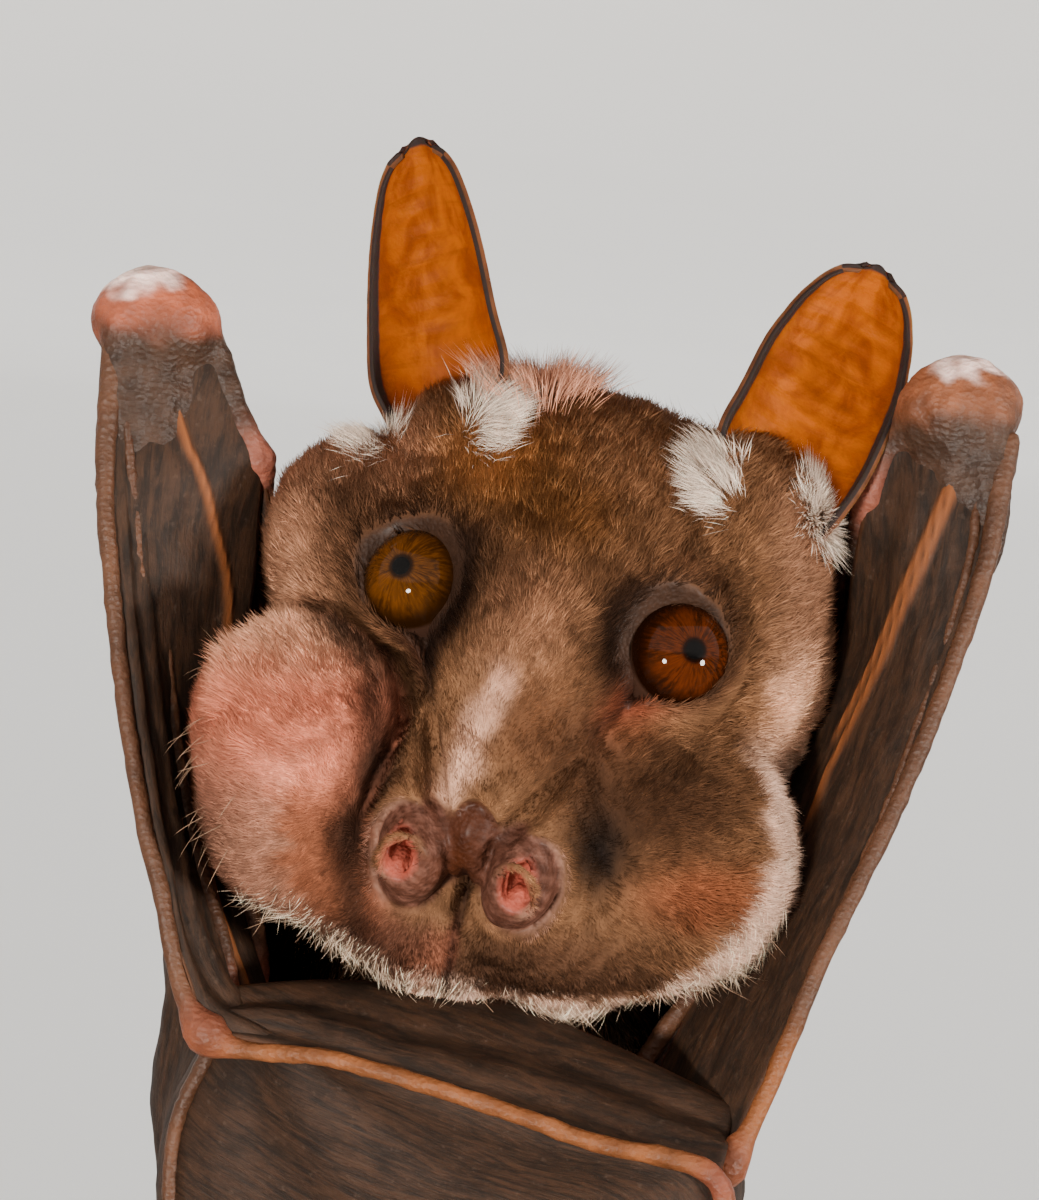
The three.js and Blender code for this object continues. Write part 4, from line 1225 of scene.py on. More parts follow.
def make_wing(side, skin_finish, bone_finish):
    """The bones of one folded wing, and the thin skins between them."""
    wing = wing_points(side)
    name = SIDE_NAME[side]
    wrist, elbow, shoulder = wing["wrist"], wing["elbow"], wing["shoulder"]
    flank = [(midline(-78) + side * 15, 34, -78), (midline(-104) + side * 9, 37, -106)]
    arm = [wrist, mix(wrist, elbow, 0.5), elbow, *flank]
    chest = [shoulder + [side * 5, -10, 17], shoulder + [side, -2, 4]]
    ahead = 3 if side < 0 else 2
    joints = [wrist, elbow, wing["three"][5], wing["three"][9], wing["four"][3], wing["five"][3]]
    outer = wing["three"][:6]
    second = np.array([
        mix(Path(outer).at(along), Path(wing["inner"]).at(along), across) for along, across in RAYS[side][0]
    ])
    wing["two"] = second + [0, -0.2, 0]
    knuckle = wing["three"][5]
    bones = [bone(wing[key], radii, 150, joints, knob=knuckle) for key, radii in FINGER_R.items()]
    forearm = [wrist, mix(wrist, elbow, 0.5) + [side * 0.8, 1, 0], elbow]
    bones.append(bone(forearm, [1.5, 1.15, 1.3, 2.0, 2.8], 90, joints))
    covered = [f"finger_{k}_{name}" for k in (2, 3, 4, 5)] + [f"forearm_{name}"]
    Shape.join(bones).piece(f"wing_bones_{name}", bone_finish, "limb_skin", covered)
    third, fourth, fifth = wing["three"], wing["four"], wing["five"]
    skins = [
        membrane(outer, wing["inner"], (36, 200), (0, -1.2, 0), (0.0, 0.985), 0.6, 60, RAYS[side][1:]),
        membrane(third, fourth, (20, 140), (0, -1.5 if side < 0 else 1, 0), (0.03, 0.995), 2.5, 61),
        membrane(fourth, fifth, (16, 140), (side * 1.6, 1, 0), (0.03, 0.995), 1.5, 63),
        membrane(fifth, arm, (30, 140), (-9.4 if side < 0 else 7, 1, 0), (0.03, 0.97), 4, 65),
        membrane([*wing["thumb"][:ahead], *chest], [wrist, mix(wrist, elbow, 0.4), mix(wrist, elbow, 0.75)],
                 (18, 70), (side * 0.8, 0, 0), (0.04, 1), 2, 67),
    ]
    # The hem of wing skin that stays on the near side of the bent third finger.
    bend = wing["three"][5:10]
    hem = bend + np.array([[side * 0.5, 3, 3.5], [0, 9, 6], [0, 12, 8], [0, 12, 8], [-side * 1.5, 8, 6]])
    skins.append(membrane(bend, hem, (18, 110), (0, -1.5, 0), (0, 1), 2, 69))
    webs = [f"{web}_{name}" for web in ("web_3_4", "web_4_5", "arm_web", "shoulder_web")]
    Shape.join(skins).piece(f"wing_skin_{name}", skin_finish, "wing_skin", webs)


def chain(points, radii):
    """A row of cones through points."""
    links = [cone(a, ra, b, rb) for a, ra, b, rb in zip(points[:-1], radii[:-1], points[1:], radii[1:])]
    return lambda p: np.minimum.reduce([link(p) for link in links])


def make_hand(side, finish):
    """The wrist, a smooth cap that runs down into the wing as a flat leaf, and the thumb."""
    wing = wing_points(side)
    name = SIDE_NAME[side]
    wrist = wing["wrist"]
    flat_way = turn("Z", -side * 0.45)
    cap = ellipsoid(wrist + [0, -0.4, 0.7], (5.1, 3.7, 4.0))
    leaf = ellipsoid((0, 0, 0), (4.4, 1.5, 9.5))
    thumb = chain(wing["thumb"], [1.5, 1.0, 1.35, 0.95, 0.85])
    forearm = cone(wrist, 2.2, mix(wrist, wing["elbow"], 0.16), 1.9)

    def field(p):
        hand = blend(2.2, cap(p), leaf((p - wrist - [0, -1.6, -5.5]) @ flat_way), forearm(p))
        hand = blend(1.6, hand, thumb(p))
        across = (p - wrist) @ flat_way[:, 0]
        tendons = np.cos(across * 1.9 + 0.3 * waves(p, 6, 72)) * (1 - rise(-2, 2, p[:, 2] - wrist[2]))
        return hand - 0.07 * tendons + 0.05 * waves(p, 2.2, 73) + 0.02 * waves(p, 0.9, 76)

    low, high = wrist[2] - 20, wrist[2] + 6
    step = 0.3
    middle = lambda z: np.array([mix(wing["thumb"][-1], wrist, 0.6)[0], wrist[1] + 2.5])
    half = (int(12 / step), int(11 / step))
    shape = skin_of(field, Lattice(low, high, half, lambda z: step, middle), 2)
    p = shape.points
    height = p[:, 2] - wrist[2]
    top = tint(116, 68, 44) if side > 0 else tint(146, 76, 52)
    colour = mix(tint(50, 33, 23), top, rise(-1.8, 2.0, height + 0.5 * waves(p, 3, 77))[:, None])
    # A whitish painted highlight along the top of the wrist.
    wrist_highlight = rise(2.6 + 0.3 * side, 4.0 + 0.3 * side, height + 0.5 * waves(p, 2.6, 74))
    wrist_highlight = wrist_highlight * (1 - rise(2.4, 4.2, np.abs(p[:, 0] - wrist[0] - side)))
    colour = mix(colour, tint(238, 206, 196), (0.9 * wrist_highlight)[:, None])
    bump = ridge(np.linalg.norm(p - wing["thumb"][2], axis=1), 2.6)
    colour = mix(colour, tint(180, 104, 84), (0.6 * bump)[:, None])
    shape.paint = {"coat": np.clip(colour * (1 + 0.15 * waves(p, 2.5, 75)[:, None]), 0.004, 1)}
    shape.piece(f"hand_skin_{name}", finish, "limb_skin", [f"wrist_{name}", f"thumb_{name}"])


# ---------------------------------------------------------------- feet and claws

CLAW_LENGTH = 5.6
CLAW_R = 0.95


def around_perch(side, k, angle, extra=0.0):
    """A point over the perch, for toe k of one foot, at an angle in degrees round the perch."""
    reach = PERCH_R + 1.5 + extra
    a = math.radians(angle)
    return perch_point(side * 9) + (perch_point((k - 2) * 2.5) - perch_point(0)) + [
        0, math.cos(a) * reach, math.sin(a) * reach,
    ]


def make_foot(side, finish):
    """One foot, its five toes bent over the perch, and the bare end of the leg."""
    name = SIDE_NAME[side]
    knee, ankle = leg_points(side)[1:]
    sole = chain([ankle, around_perch(side, 2, 35, 1.2), around_perch(side, 2, -2, 0.5)], [1.9, 2.1, 2.3])
    shank = cone(mix(ankle, knee, 0.5), 2.2, ankle, 1.8)
    toes = [
        chain([around_perch(side, 2, 5), *(around_perch(side, k, a) for a in (-30, -48, -65, -86, -105))],
              [1.25, 1.1, 0.95, 1.1, 0.95, 1.05])
        for k in range(5)
    ]

    def field(p):
        foot = blend(1.0, sole(p), shank(p), *(toe(p) for toe in toes))
        return foot + 0.06 * waves(p, 1.2, 81) + 0.05 * np.sin(waves(p, 5, 82) * 3 + p[:, 2] * 5)

    middle = lambda z: perch_point(side * 9)[:2] + [0, 3]
    step = 0.32
    half = (int(12 / step), int(15 / step))
    shape = skin_of(field, Lattice(-146, -112, half, lambda z: step, middle), 2)
    colour = mix(tint(96, 70, 58), tint(140, 100, 84), rise(-0.6, 1, waves(shape.points, 4, 83))[:, None])
    shape.paint = {"coat": np.clip(colour * (1 + 0.2 * waves(shape.points, 1.6, 84)[:, None]), 0.004, 1)}
    shape.piece(f"foot_skin_{name}", finish, "limb_skin", [f"foot_{name}", f"shank_{name}"])


def claw(root, ahead, bend, length, radius):
    """A curved claw, higher than it is wide."""
    t = np.linspace(0, 1, 22)[:, None]
    ahead, bend = unit(ahead), unit(bend)
    centres = np.asarray(root, float) + ahead * length * t * (1 - 0.35 * t) + bend * length * 0.62 * t * t
    radii = np.interp(t[:, 0], [0, 0.4, 0.75, 1], [radius, radius * 0.85, radius * 0.5, 0.12])
    shape = tube(centres, radii, 10, flat=0.7, side=np.cross(ahead, bend) * 0.001 + bend)
    along = np.clip((shape.points - root) @ ahead / length, 0, 1)
    shape.paint = {"run": along}
    return shape


def make_claws(finish):
    """The claws of the toes, hooked round the perch, and those of the thumbs."""
    claws = []
    for side in (-1, 1):
        grip = perch_point(side * 9)
        for k in range(5):
            root = around_perch(side, k, -108, 0.1)
            inward = (grip - root) * [0, 1, 1]
            ahead = around_perch(side, k, -145) - root
            claws.append(claw(root, ahead, unit(inward) + [0, -0.5, 1.3], CLAW_LENGTH, CLAW_R))
    toes = [f"toe_claw_{k}_{name}" for k in range(1, 6) for name in ("left", "right")]
    Shape.join(claws).piece("toe_claws", finish, "claw", toes)
    thumbs = []
    for side in (-1, 1):
        joint, tip = np.array(WING[side]["thumb"][-2:], float)
        root = tip + unit(tip - joint) * 0.4
        thumbs.append(claw(root, tip - joint, (0, -0.6, -0.8), CLAW_LENGTH, CLAW_R))
    Shape.join(thumbs).piece("thumb_claws", finish, "claw", ["thumb_claw_left", "thumb_claw_right"])


# ---------------------------------------------------------------- the stand


def make_perch(finish):
    """A short cut branch, with rough bark, two knots and sawn ends."""
    columns, rows = 72, 220
    run = np.linspace(-PERCH_HALF, PERCH_HALF, rows)
    girth = np.interp(run / PERCH_HALF, [-1, -0.5, 0, 0.5, 1], [0.95, 1.02, 0.96, 0.99, 0.93])
    body = girth * (PERCH_R - 0.35)
    cut = np.array([0.02, 0.3, 0.6, 0.85, 0.96])
    run = np.concatenate([np.full(5, run[0]), run, np.full(5, run[-1])])
    radii = np.concatenate([body[0] * cut, body, body[-1] * cut[::-1]])
    turns = round_turn(columns)
    way = perch_point(1) - perch_point(0)
    side = np.array([0.0, 1, 0])
    up = np.cross(way, side)
    ring = np.cos(turns)[:, None] * side + np.sin(turns)[:, None] * up
    centres = np.array([perch_point(r) for r in run])
    plain = centres[:, None] + radii[:, None, None] * ring[None]
    flat = plain.reshape(-1, 3)
    squeezed = flat * [0.22, 1, 1]
    grain = np.abs(waves(squeezed, 3.2, 91)) * 0.35 + 0.12 * waves(squeezed, 1.3, 92)
    knots = sum(1.3 * ridge(np.linalg.norm(flat - perch_point(o) - 6 * (side * c + up * s), axis=1), 2.6)
                for o, c, s in ((-31, -0.5, 0.8), (38, -0.9, -0.3)))
    raised = 0.3 - grain + 0.55 * np.clip(knots, 0, 1.3)
    bark = np.concatenate([np.full(5, 0.0), np.ones(rows), np.full(5, 0.0)]).repeat(columns)
    moved = flat + np.tile(ring, (len(run), 1)) * (raised * bark)[:, None]
    ends = np.stack([centres[0], centres[-1]])
    points = np.vstack([moved, ends])
    quads = ring_faces(len(run), columns)
    first_cap = fan(len(moved), 0, columns, flip=True)
    last_cap = fan(len(moved) + 1, (len(run) - 1) * columns, columns)
    inner = np.concatenate([1 - bark, [1, 1]])
    branch = Shape(points, [quads, first_cap, last_cap], sawn=inner)
    branch.piece("perch_branch", finish, "bark", ["stand_perch"])


def swept_round(profile, sides):
    """Points of a profile of radii and heights, swept round an upright axis."""
    turns = round_turn(sides)
    ring = np.stack([np.cos(turns), np.sin(turns), 0 * turns], axis=1)
    rows = profile[:, 0, None, None] * ring + profile[:, 1, None, None] * np.array([0, 0, 1.0])
    return rows.reshape(-1, 3)


def turned_on_lathe(profile, at, sides):
    """A turned body from radii and heights, about an upright axis in the model's frame."""
    profile = np.asarray(profile, float)
    ends = [[0, 0, profile[0, 1]], [0, 0, profile[-1, 1]]]
    points = np.vstack([swept_round(profile, sides), ends]) + np.asarray(at, float)
    low = fan(len(points) - 2, 0, sides, flip=True)
    top = fan(len(points) - 1, (len(profile) - 1) * sides, sides)
    return Shape(points, [ring_faces(len(profile), sides), low, top])


def arc(middle, radius, start, end, count):
    """Points of a profile round a middle, from one angle to another."""
    return [(middle[0] + radius * math.cos(a), middle[1] + radius * math.sin(a))
            for a in np.linspace(start, end, count)]


def make_stand(wood, steel):
    """A flat turned base, and two rods with a collar below and a ferrule above."""
    high = BASE_HIGH[2] / MM
    wide = BASE_HIGH[0] / MM
    foot = arc((wide - 3.2, 3.2), 3.2, -1.57, 1.1, 14)
    bead = arc((wide - 3.4, 7.6), 1.8, -0.9, 1.4, 12)
    brim = arc((wide - 6, high - 2.2), 2.2, 0.1, 1.57, 10)
    upper_face = [(wide - 14, high), (30, high), (2, high)]
    profile = [(wide - 12, 0), *foot, (wide - 2.6, 6.2), *bead, *brim, *upper_face]
    disc = turned_on_lathe(profile, (0, 0, 0), 160)
    disc.piece("base_disc", wood, "base_wood", ["stand_base"], turned=False)
    for name in ("left", "right"):
        lower, upper = (np.array(corner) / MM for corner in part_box(f"stand_rod_{name}"))
        x, y = ((lower + upper) / 2)[:2]
        r = (upper - lower)[0] / 2
        top = upper[2]
        collar = [(r + 2.2, high + 0.02), (r + 2.4, high + 0.5), (r + 2.2, high + 1.6), (r + 0.9, high + 2.1),
                  (r + 0.7, high + 3.4), (r, high + 3.8)]
        ferrule = [(r, top - 9), (r + 0.7, top - 8.6), (r + 0.8, top - 4.4), (r + 0.5, top - 4),
                   (r, top - 3.8)]
        low_end = [(r - 0.2, lower[2]), (r, lower[2] + 0.3), (r, high)]
        top_end = [(r, top - 0.5), (r - 0.5, top)]
        rod = turned_on_lathe([*low_end, *collar, *ferrule, *top_end], (x, y, 0), 48)
        rod.piece(f"rod_{name}", steel, "rod", [f"stand_rod_{name}"], turned=False)


# ---------------------------------------------------------------- finishes


class Wire:
    """A node's output; arithmetic on wires and numbers adds Math nodes."""

    def __init__(self, finish, socket):
        self.finish = finish
        self.socket = socket

    def __add__(self, other):
        return self.finish.maths("ADD", self, other)

    def __sub__(self, other):
        return self.finish.maths("SUBTRACT", self, other)

    def __rsub__(self, other):
        return self.finish.maths("SUBTRACT", other, self)

    def __mul__(self, other):
        return self.finish.maths("MULTIPLY", self, other)

    __radd__ = __add__
    __rmul__ = __mul__

    def step(self, low, high):
        """0 below low and 1 above high, smooth between."""
        settings = {"interpolation_type": "SMOOTHSTEP"}
        return self.finish.node("ShaderNodeMapRange", settings, {0: self, 1: low, 2: high})


class Finish:
    """A material in the making."""

    def __init__(self, name):
        self.material = bpy.data.materials.new(name)
        self.material.use_nodes = True
        self.tree = self.material.node_tree
        self.tree.nodes.clear()

    def node(self, kind, settings=None, sockets=None, output=0):
        made = self.tree.nodes.new(kind)
        for key, value in (settings or {}).items():
            setattr(made, key, value)
        for key, value in (sockets or {}).items():
            if isinstance(value, Wire):
                self.tree.links.new(value.socket, made.inputs[key])
            elif isinstance(value, np.ndarray):
                made.inputs[key].default_value = rgba(value)
            else:
                made.inputs[key].default_value = value
        return None if output is None else Wire(self, made.outputs[output])

    def maths(self, operation, first, second):
        return self.node("ShaderNodeMath", {"operation": operation}, {0: first, 1: second})

    def place(self):
        return self.node("ShaderNodeTexCoord", output="Object")

    def lay(self):
        return self.node("ShaderNodeUVMap", {"uv_map": "lay"})

    def mark(self, name, output="Fac"):
        return self.node("ShaderNodeAttribute", {"attribute_name": name}, output=output)

    def scaled(self, vector, scale):
        return self.node("ShaderNodeMapping", {}, {"Vector": vector, "Scale": scale})

    def noise(self, vector, scale, detail=3.0, rough=0.55, warp=0.0):
        sockets = {"Vector": vector, "Scale": scale, "Detail": detail, "Roughness": rough, "Distortion": warp}
        return self.node("ShaderNodeTexNoise", {}, sockets)

    def cells(self, vector, scale):
        return self.node("ShaderNodeTexVoronoi", {"feature": "F1"}, {"Vector": vector, "Scale": scale})

    def cracks(self, vector, scale):
        """The distance to the edges between cells."""
        settings = {"feature": "DISTANCE_TO_EDGE"}
        return self.node("ShaderNodeTexVoronoi", settings, {"Vector": vector, "Scale": scale})

    def part(self, vector, axis):
        return self.node("ShaderNodeSeparateXYZ", {}, {0: vector}, output=axis)

    def blend(self, share, first, second):
        settings = {"data_type": "RGBA", "blend_type": "MIX"}
        return self.node("ShaderNodeMix", settings, {0: share, 6: first, 7: second}, output=2)

    def dimmed(self, colour, value):
        """The colour times a value."""
        return self.node("ShaderNodeVectorMath", {"operation": "SCALE"}, {0: colour, "Scale": value})

    def bump(self, height, strength, distance):
        return self.node("ShaderNodeBump", {}, {"Height": height, "Strength": strength, "Distance": distance})

    def done(self, base, roughness, normal=None, **constants):
        sockets = {"Base Color": base, "Roughness": roughness}
        if normal is not None:
            sockets["Normal"] = normal
        sockets.update({key.replace("_", " "): value for key, value in constants.items()})
        shader = self.node("ShaderNodeBsdfPrincipled", {}, sockets)
        self.node("ShaderNodeOutputMaterial", {}, {"Surface": shader}, output=None)
        return self.material


def hair_finish():
    make = Finish("coat_hair")
    streak = make.noise(make.scaled(make.place(), (900, 900, 500)), 1.0, 2.0)
    base = make.dimmed(make.mark("coat", "Color"), 0.72 + 0.56 * streak)
    return make.done(base, 0.5 + 0.3 * streak, Specular_IOR_Level=0.05)


def hide_finish():
    """The skin under the coat: matt and downy where hair grows, finely creased and moist where it is bare."""
    make = Finish("coat_skin")
    place = make.place()
    bare = make.mark("bare")
    down = make.noise(make.scaled(place, (2600, 2600, 1300)), 1.0, 3.0)
    creases = make.cells(place, 2600)
    pores = make.noise(place, 1800, 4.0)
    fleck = make.blend(bare, make.dimmed(make.mark("coat", "Color"), 0.45 + 0.7 * down),
                       make.dimmed(make.mark("coat", "Color"), 0.62 + 0.8 * pores))
    height = (down * (1 - bare)) + (creases * 0.5 + pores * 0.6) * bare
    normal = make.bump(height, 0.7, 0.0003)
    return make.done(fleck, 0.78 - 0.3 * bare + 0.12 * pores, normal, Specular_IOR_Level=0.08,
                     Coat_Weight=bare * 0.08, Coat_Roughness=0.34)


def bare_finish():
    make = Finish("limb_skin")
    place = make.place()
    mottle = make.noise(place, 420, 4.0, 0.6)
    creases = make.cells(make.scaled(place, (1500, 1500, 2300)), 1.0)
    fine = make.noise(place, 3000, 3.0)
    base = make.dimmed(make.mark("coat", "Color"), 0.55 + 0.9 * mottle)
    normal = make.bump(creases * 0.6 + fine * 0.5, 0.6, 0.0003)
    return make.done(base, 0.36 + 0.3 * mottle, normal, Specular_IOR_Level=0.22, Subsurface_Weight=0.15,
                     Subsurface_Radius=(0.003, 0.0012, 0.0006), Subsurface_Scale=0.4)


def eye_finish(name, inner, outer):
    make = Finish(name)
    mark = make.mark("iris", "Vector")
    polar = make.part(mark, 2) * 180.0
    round_way = make.node("ShaderNodeVectorMath", {"operation": "MULTIPLY"}, {0: mark, 1: (1, 1, 0.55)})
    strands = make.noise(round_way, 26, 4.0, 0.65, 0.3)
    cloud = make.noise(round_way, 5, 3.0)
    threads = make.blend(strands.step(0.38, 0.66), outer, inner)
    iris = make.blend(cloud.step(0.4, 0.7) * 0.5, threads, inner * 1.2)
    # Painted shade: the iris darker towards its edge, for depth.
    iris = make.blend(polar.step(34, 58), iris, outer * 0.45)
    near_pupil = make.blend(polar.step(10, 15), outer * 0.3, iris)
    whole = make.blend(polar.step(8.2, 9.2), tint(5, 4, 4), near_pupil)
    whole = make.blend(polar.step(62, 68), whole, tint(52, 34, 26))
    return make.done(whole, 0.5 + 0.2 * strands, Specular_IOR_Level=0.0, Coat_Weight=1.0, Coat_Roughness=0.01,
                     Coat_IOR=1.2)


def ear_finish():
    make = Finish("ear_skin")
    place = make.place()
    lay = make.lay()
    s = make.part(lay, 1)
    t = make.part(lay, 0)
    veins = make.noise(make.scaled(lay, (2.2, 6, 1)), 1.0, 5.0, 0.6, 0.6)
    bands = make.noise(make.scaled(lay, (0.7, 26, 1)), 1.0, 3.0, 0.5, 0.4)
    # The inside of the ear: an orange painted glow, for light shining through its thin skin.
    glow = make.blend(veins.step(0.36, 0.68), tint(142, 70, 4), tint(104, 45, 2))
    glow = make.blend(bands.step(0.5, 0.75) * 0.4, glow, tint(90, 40, 3))
    # Painted shade: darker towards the ear's edges.
    glow = make.blend((t * t).step(0.3, 0.95) * 0.55, glow, tint(84, 37, 4))
    # Painted shade in the hollow at the ear's foot.
    pocket = 1 - (s + 0.1 * t * t).step(0.05, 0.32)
    glow = make.blend(pocket * 0.85, glow, tint(84, 34, 16))
    edge = (make.mark("rim") + 0.25 * make.noise(place, 900, 2.0) - 0.12).step(0.18, 0.5)
    inner = make.blend(edge, glow, tint(40, 33, 31))
    behind = make.blend(veins.step(0.4, 0.7), tint(92, 58, 38), tint(62, 40, 28))
    base = make.blend(make.mark("back").step(0.4, 0.6), inner, behind)
    normal = make.bump(bands * 0.5 + veins * 0.6 + make.noise(place, 2600, 3.0) * 0.4, 0.5, 0.0003)
    return make.done(base, 0.42 + 0.2 * veins, normal, Specular_IOR_Level=0.04, Subsurface_Weight=0.2,
                     Subsurface_Radius=(0.006, 0.0022, 0.0004), Subsurface_Scale=0.5)


def wing_finish():
    """Thin dark skin, streaked along its length, paler and warmer where it meets the bones, with a warm
    painted highlight along the rays.
    """
    make = Finish("wing_skin")
    lay = make.lay()
    place = make.place()
    streaks = make.noise(make.scaled(lay, (1.1, 0.2, 1)), 1.0, 6.0, 0.7, 0.8)
    mottle = make.noise(place, 230, 6.0, 0.68)
    threads = make.noise(make.scaled(lay, (3.4, 0.9, 1)), 1.0, 4.0, 0.6, 0.6)
    specks = make.noise(place, 1300, 2.0)
    base = make.blend(streaks.step(0.34, 0.66), tint(27, 18, 12), tint(54, 35, 23))
    base = make.blend(mottle.step(0.46, 0.68) * 0.6, base, tint(22, 14, 9))
    base = make.blend(threads.step(0.56, 0.76) * 0.28, base, tint(76, 53, 38))
    base = make.blend(specks.step(0.62, 0.8) * 0.12, base, tint(120, 98, 84))
    rim = 1 - make.mark("edge").step(0.0, 0.16)
    base = make.blend(rim * 0.4, base, tint(96, 58, 36))
    # A warm painted highlight along the raised rays of the bones under the skin.
    base = make.blend(make.mark("ray") * 0.85, base, tint(126, 72, 38))
    normal = make.bump(streaks * 0.4 + threads * 0.4 + mottle * 0.5 + specks * 0.3, 0.4, 0.0004)
    return make.done(base, 0.46 + 0.3 * mottle, normal, Specular_IOR_Level=0.16, Subsurface_Weight=0.1,
                     Subsurface_Radius=(0.004, 0.0014, 0.0005), Subsurface_Scale=0.4)


def claw_finish():
    make = Finish("claw_horn")
    run = make.mark("run")
    streaks = make.noise(make.scaled(make.place(), (900, 900, 240)), 1.0, 4.0)
    base = make.blend(streaks.step(0.35, 0.7), tint(34, 27, 23), tint(78, 60, 48))
    base = make.blend(run.step(0.6, 1.0) * 0.6, base, tint(140, 116, 92))
    normal = make.bump(streaks, 0.4, 0.0002)
    return make.done(base, 0.22 + 0.25 * streaks, normal, Specular_IOR_Level=0.6,
                     Coat_Weight=0.3, Coat_Roughness=0.2)


def bark_finish():
    make = Finish("branch_bark")
    place = make.place()
    along = make.scaled(place, (60, 420, 420))
    grain = make.noise(along, 1.0, 6.0, 0.65, 0.4)
    crack = make.cracks(along, 0.9)
    lichen = make.noise(place, 130, 5.0, 0.7)
    base = make.blend(grain.step(0.34, 0.68), tint(62, 46, 34), tint(128, 102, 76))
    base = make.blend((1 - crack.step(0.0, 0.09)) * 0.7, base, tint(34, 25, 19))
    base = make.blend(lichen.step(0.58, 0.7) * 0.6, base, tint(150, 154, 128))
    rings = make.noise(make.scaled(place, (5, 900, 900)), 1.0, 3.0)
    sawn = make.blend(rings.step(0.4, 0.6), tint(186, 146, 98), tint(214, 178, 130))
    base = make.blend(make.mark("sawn").step(0.3, 0.7), base, sawn)
    normal = make.bump(grain * 0.8 + crack.step(0.0, 0.12) * 0.5, 0.9, 0.0008)
    return make.done(base, 0.7 + 0.25 * grain, normal, Specular_IOR_Level=0.3)


def base_finish():
    make = Finish("base_wood")
    place = make.place()
    bent = make.scaled(place, (14, 150, 60))
    grain = make.noise(bent, 1.0, 6.0, 0.6, 0.8)
    pores = make.noise(make.scaled(place, (130, 2600, 2600)), 1.0, 3.0)
    base = make.blend(grain.step(0.3, 0.7), tint(70, 42, 26), tint(126, 82, 50))
    base = make.blend(pores.step(0.6, 0.75) * 0.6, base, tint(44, 26, 17))
    normal = make.bump(grain * 0.3 - pores * 0.5, 0.35, 0.0002)
    return make.done(base, 0.34 + 0.2 * pores, normal, Specular_IOR_Level=0.5,
                     Coat_Weight=0.35, Coat_Roughness=0.18)


def rod_finish():
    make = Finish("rod_steel")
    brushed = make.noise(make.scaled(make.place(), (300, 300, 9000)), 1.0, 4.0)
    stains = make.noise(make.place(), 70, 3.0)
    base = make.blend(stains.step(0.35, 0.75), tint(172, 172, 170), tint(142, 142, 144))
    return make.done(base, 0.2 + 0.25 * brushed, make.bump(brushed, 0.25, 0.0001), Metallic=1.0)


def floor_finish():
    make = Finish("pale_floor")
    cloud = make.noise(make.place(), 3, 3.0)
    base = make.blend(cloud, tint(232, 230, 226), tint(238, 236, 233))
    return make.done(base, 0.8 + 0.1 * cloud, Specular_IOR_Level=0.2)


# ---------------------------------------------------------------- stage, lights and camera


def standing(at, axes):
    """The place and turn of a camera or lamp."""
    return Matrix.Translation(at.tolist()) @ Matrix(axes.tolist()).to_4x4()


def make_stage(finish):
    """A wide floor that curves up into a wall all round."""
    angles = np.linspace(0, math.pi / 2, 24)
    curve = [(3000 + 1500 * math.sin(a), 1500 - 1500 * math.cos(a)) for a in angles]
    profile = np.array([(1, 0), (400, 0), (1500, 0), *curve, (4500, 5200)])
    sides = 96
    points = swept_round(profile, sides)
    mesh = bpy.data.meshes.new("studio_floor")
    mesh.from_pydata((points * MM).tolist(), [], ring_faces(len(profile), sides)[:, ::-1].tolist())
    mesh.shade_smooth()
    floor = bpy.data.objects.new("studio_floor", mesh)
    bpy.context.scene.collection.objects.link(floor)
    mesh.materials.append(finish)


def add_light(name, kind, at, aim, power, colour, glints, **settings):
    """A soft light; at and aim are in the bat's frame. Only one with glints shows in glossy things."""
    data = bpy.data.lights.new(name, kind)
    data.energy = power
    data.color = colour
    for key, value in settings.items():
        setattr(data, key, value)
    lamp = bpy.data.objects.new(name, data)
    start, end = hang(at), hang(aim)
    back = unit(start - end)
    side = unit(np.cross([0.3, 0.1, 1], back))
    axes = np.column_stack([side, np.cross(back, side), back])
    lamp.matrix_world = standing(start, axes)
    lamp.visible_camera = False
    lamp.visible_glossy = glints
    bpy.context.scene.collection.objects.link(lamp)


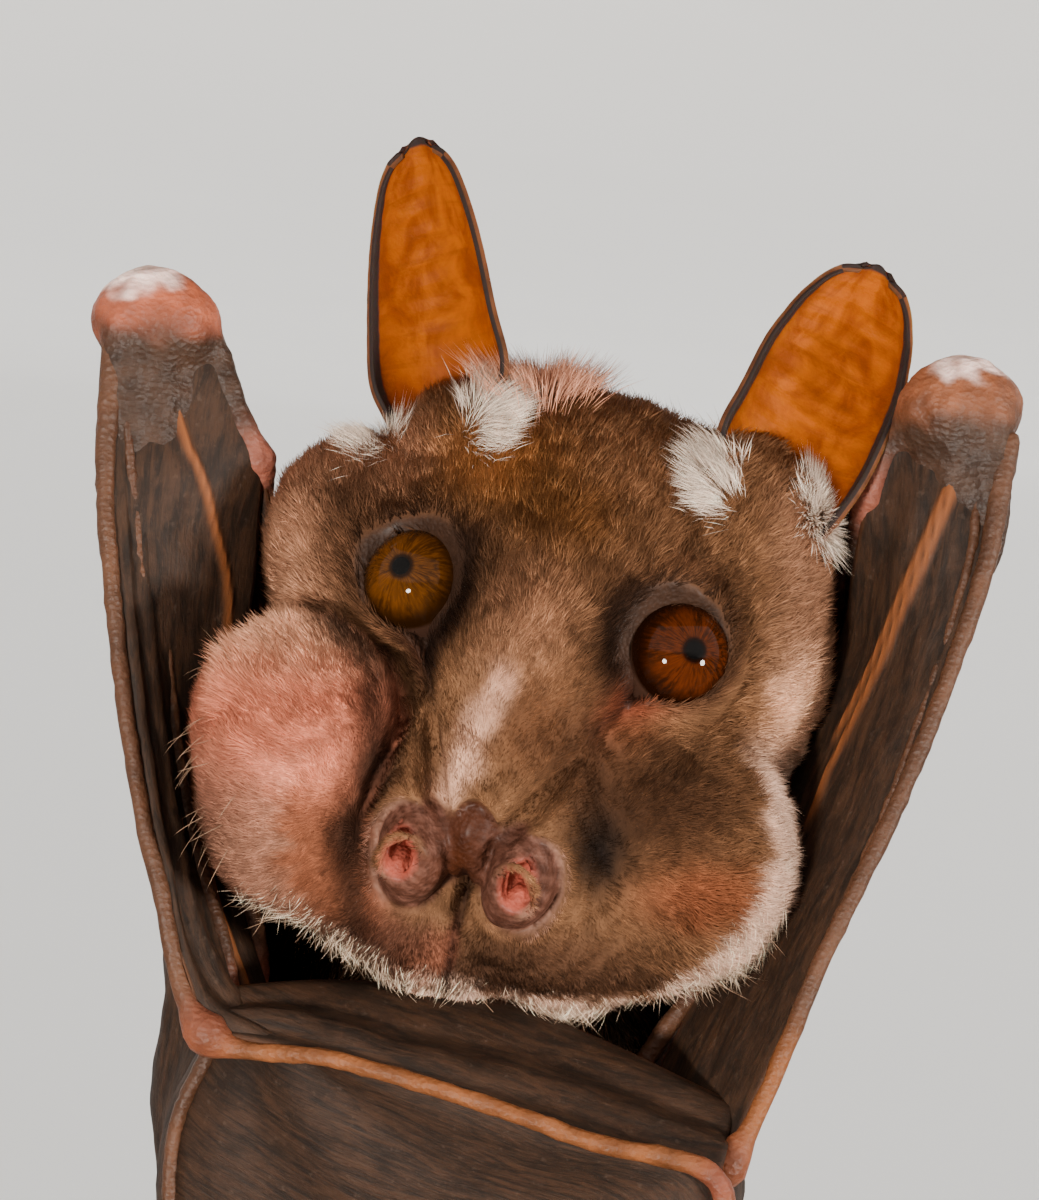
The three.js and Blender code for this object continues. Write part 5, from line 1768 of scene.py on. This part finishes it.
def light_stage():
    warm = (1, 0.95, 0.88)
    face = (0, 0, -15)
    cone_of_light = {"shadow_soft_size": 0.15, "spot_size": math.radians(44), "spot_blend": 1.0}
    add_light("key_right_side", "SPOT", (-700, -1600, -380), face, 245, warm, True, **cone_of_light)
    add_light("key_left_side", "SPOT", (1500, -940, -350), face, 210, warm, True, **cone_of_light)
    add_light("ceiling", "AREA", (0, 1900, -2400), (0, 1900, 2000), 110, (1, 1, 1), False,
              shape="DISK", size=3.6)
    world = bpy.data.worlds.new("studio_air")
    world.use_nodes = True
    back = world.node_tree.nodes["Background"]
    back.inputs["Color"].default_value = (1, 0.98, 0.96, 1)
    back.inputs["Strength"].default_value = 0.3
    bpy.context.scene.world = world


def make_camera():
    """Looks at the bat's face from in front, rolled so that its crown is up in the picture."""
    data = bpy.data.cameras.new("camera")
    data.sensor_width = 36
    data.lens = data.sensor_width * CAMERA_AWAY / VIEW_HEIGHT
    data.clip_start, data.clip_end = 0.02, 30
    camera = bpy.data.objects.new("camera", data)
    bpy.context.scene.collection.objects.link(camera)
    axes = HANG @ np.column_stack([(1, 0, 0), (0, 0, 1), (0, -1, 0)])
    camera.matrix_world = standing(hang((0, -CAMERA_AWAY, 0)), axes)
    bpy.context.scene.camera = camera


# ---------------------------------------------------------------- the model


def make_bat():
    hair, hide, limb = hair_finish(), hide_finish(), bare_finish()
    skin = make_skin()
    skin.uv = {"OFBake": unwrap(skin.points)}
    skin.paint = {"coat": coat_colour(skin.points), "bare": fleshy(skin.points)}
    flesh = ["head", "snout", "lower_jaw", "cheek_right", "neck", "trunk"]
    flesh += [f"{part}_{name}" for part in ("upper_arm", "thigh") for name in ("left", "right")]
    skin.piece("bat_skin", hide, "fur", flesh)
    coat = grow_coat(skin, hair)
    irises = (
        eye_finish("eye_right_glass", tint(82, 45, 11), tint(46, 24, 6)),
        eye_finish("eye_left_glass", tint(68, 27, 6), tint(32, 12, 3)),
    )
    for eye, glass in zip(EYES, irises):
        make_eye(eye, glass)
    ear_skin = ear_finish()
    for side in (-1, 1):
        Ear(side).make(ear_skin)
    grow_ear_tufts(coat, hair)
    wing_skin = wing_finish()
    for side in (-1, 1):
        make_wing(side, wing_skin, limb)
        make_hand(side, limb)
        make_foot(side, limb)
    make_claws(claw_finish())


make_camera()
make_stage(floor_finish())
light_stage()
make_bat()
make_perch(bark_finish())
make_stand(base_finish(), rod_finish())
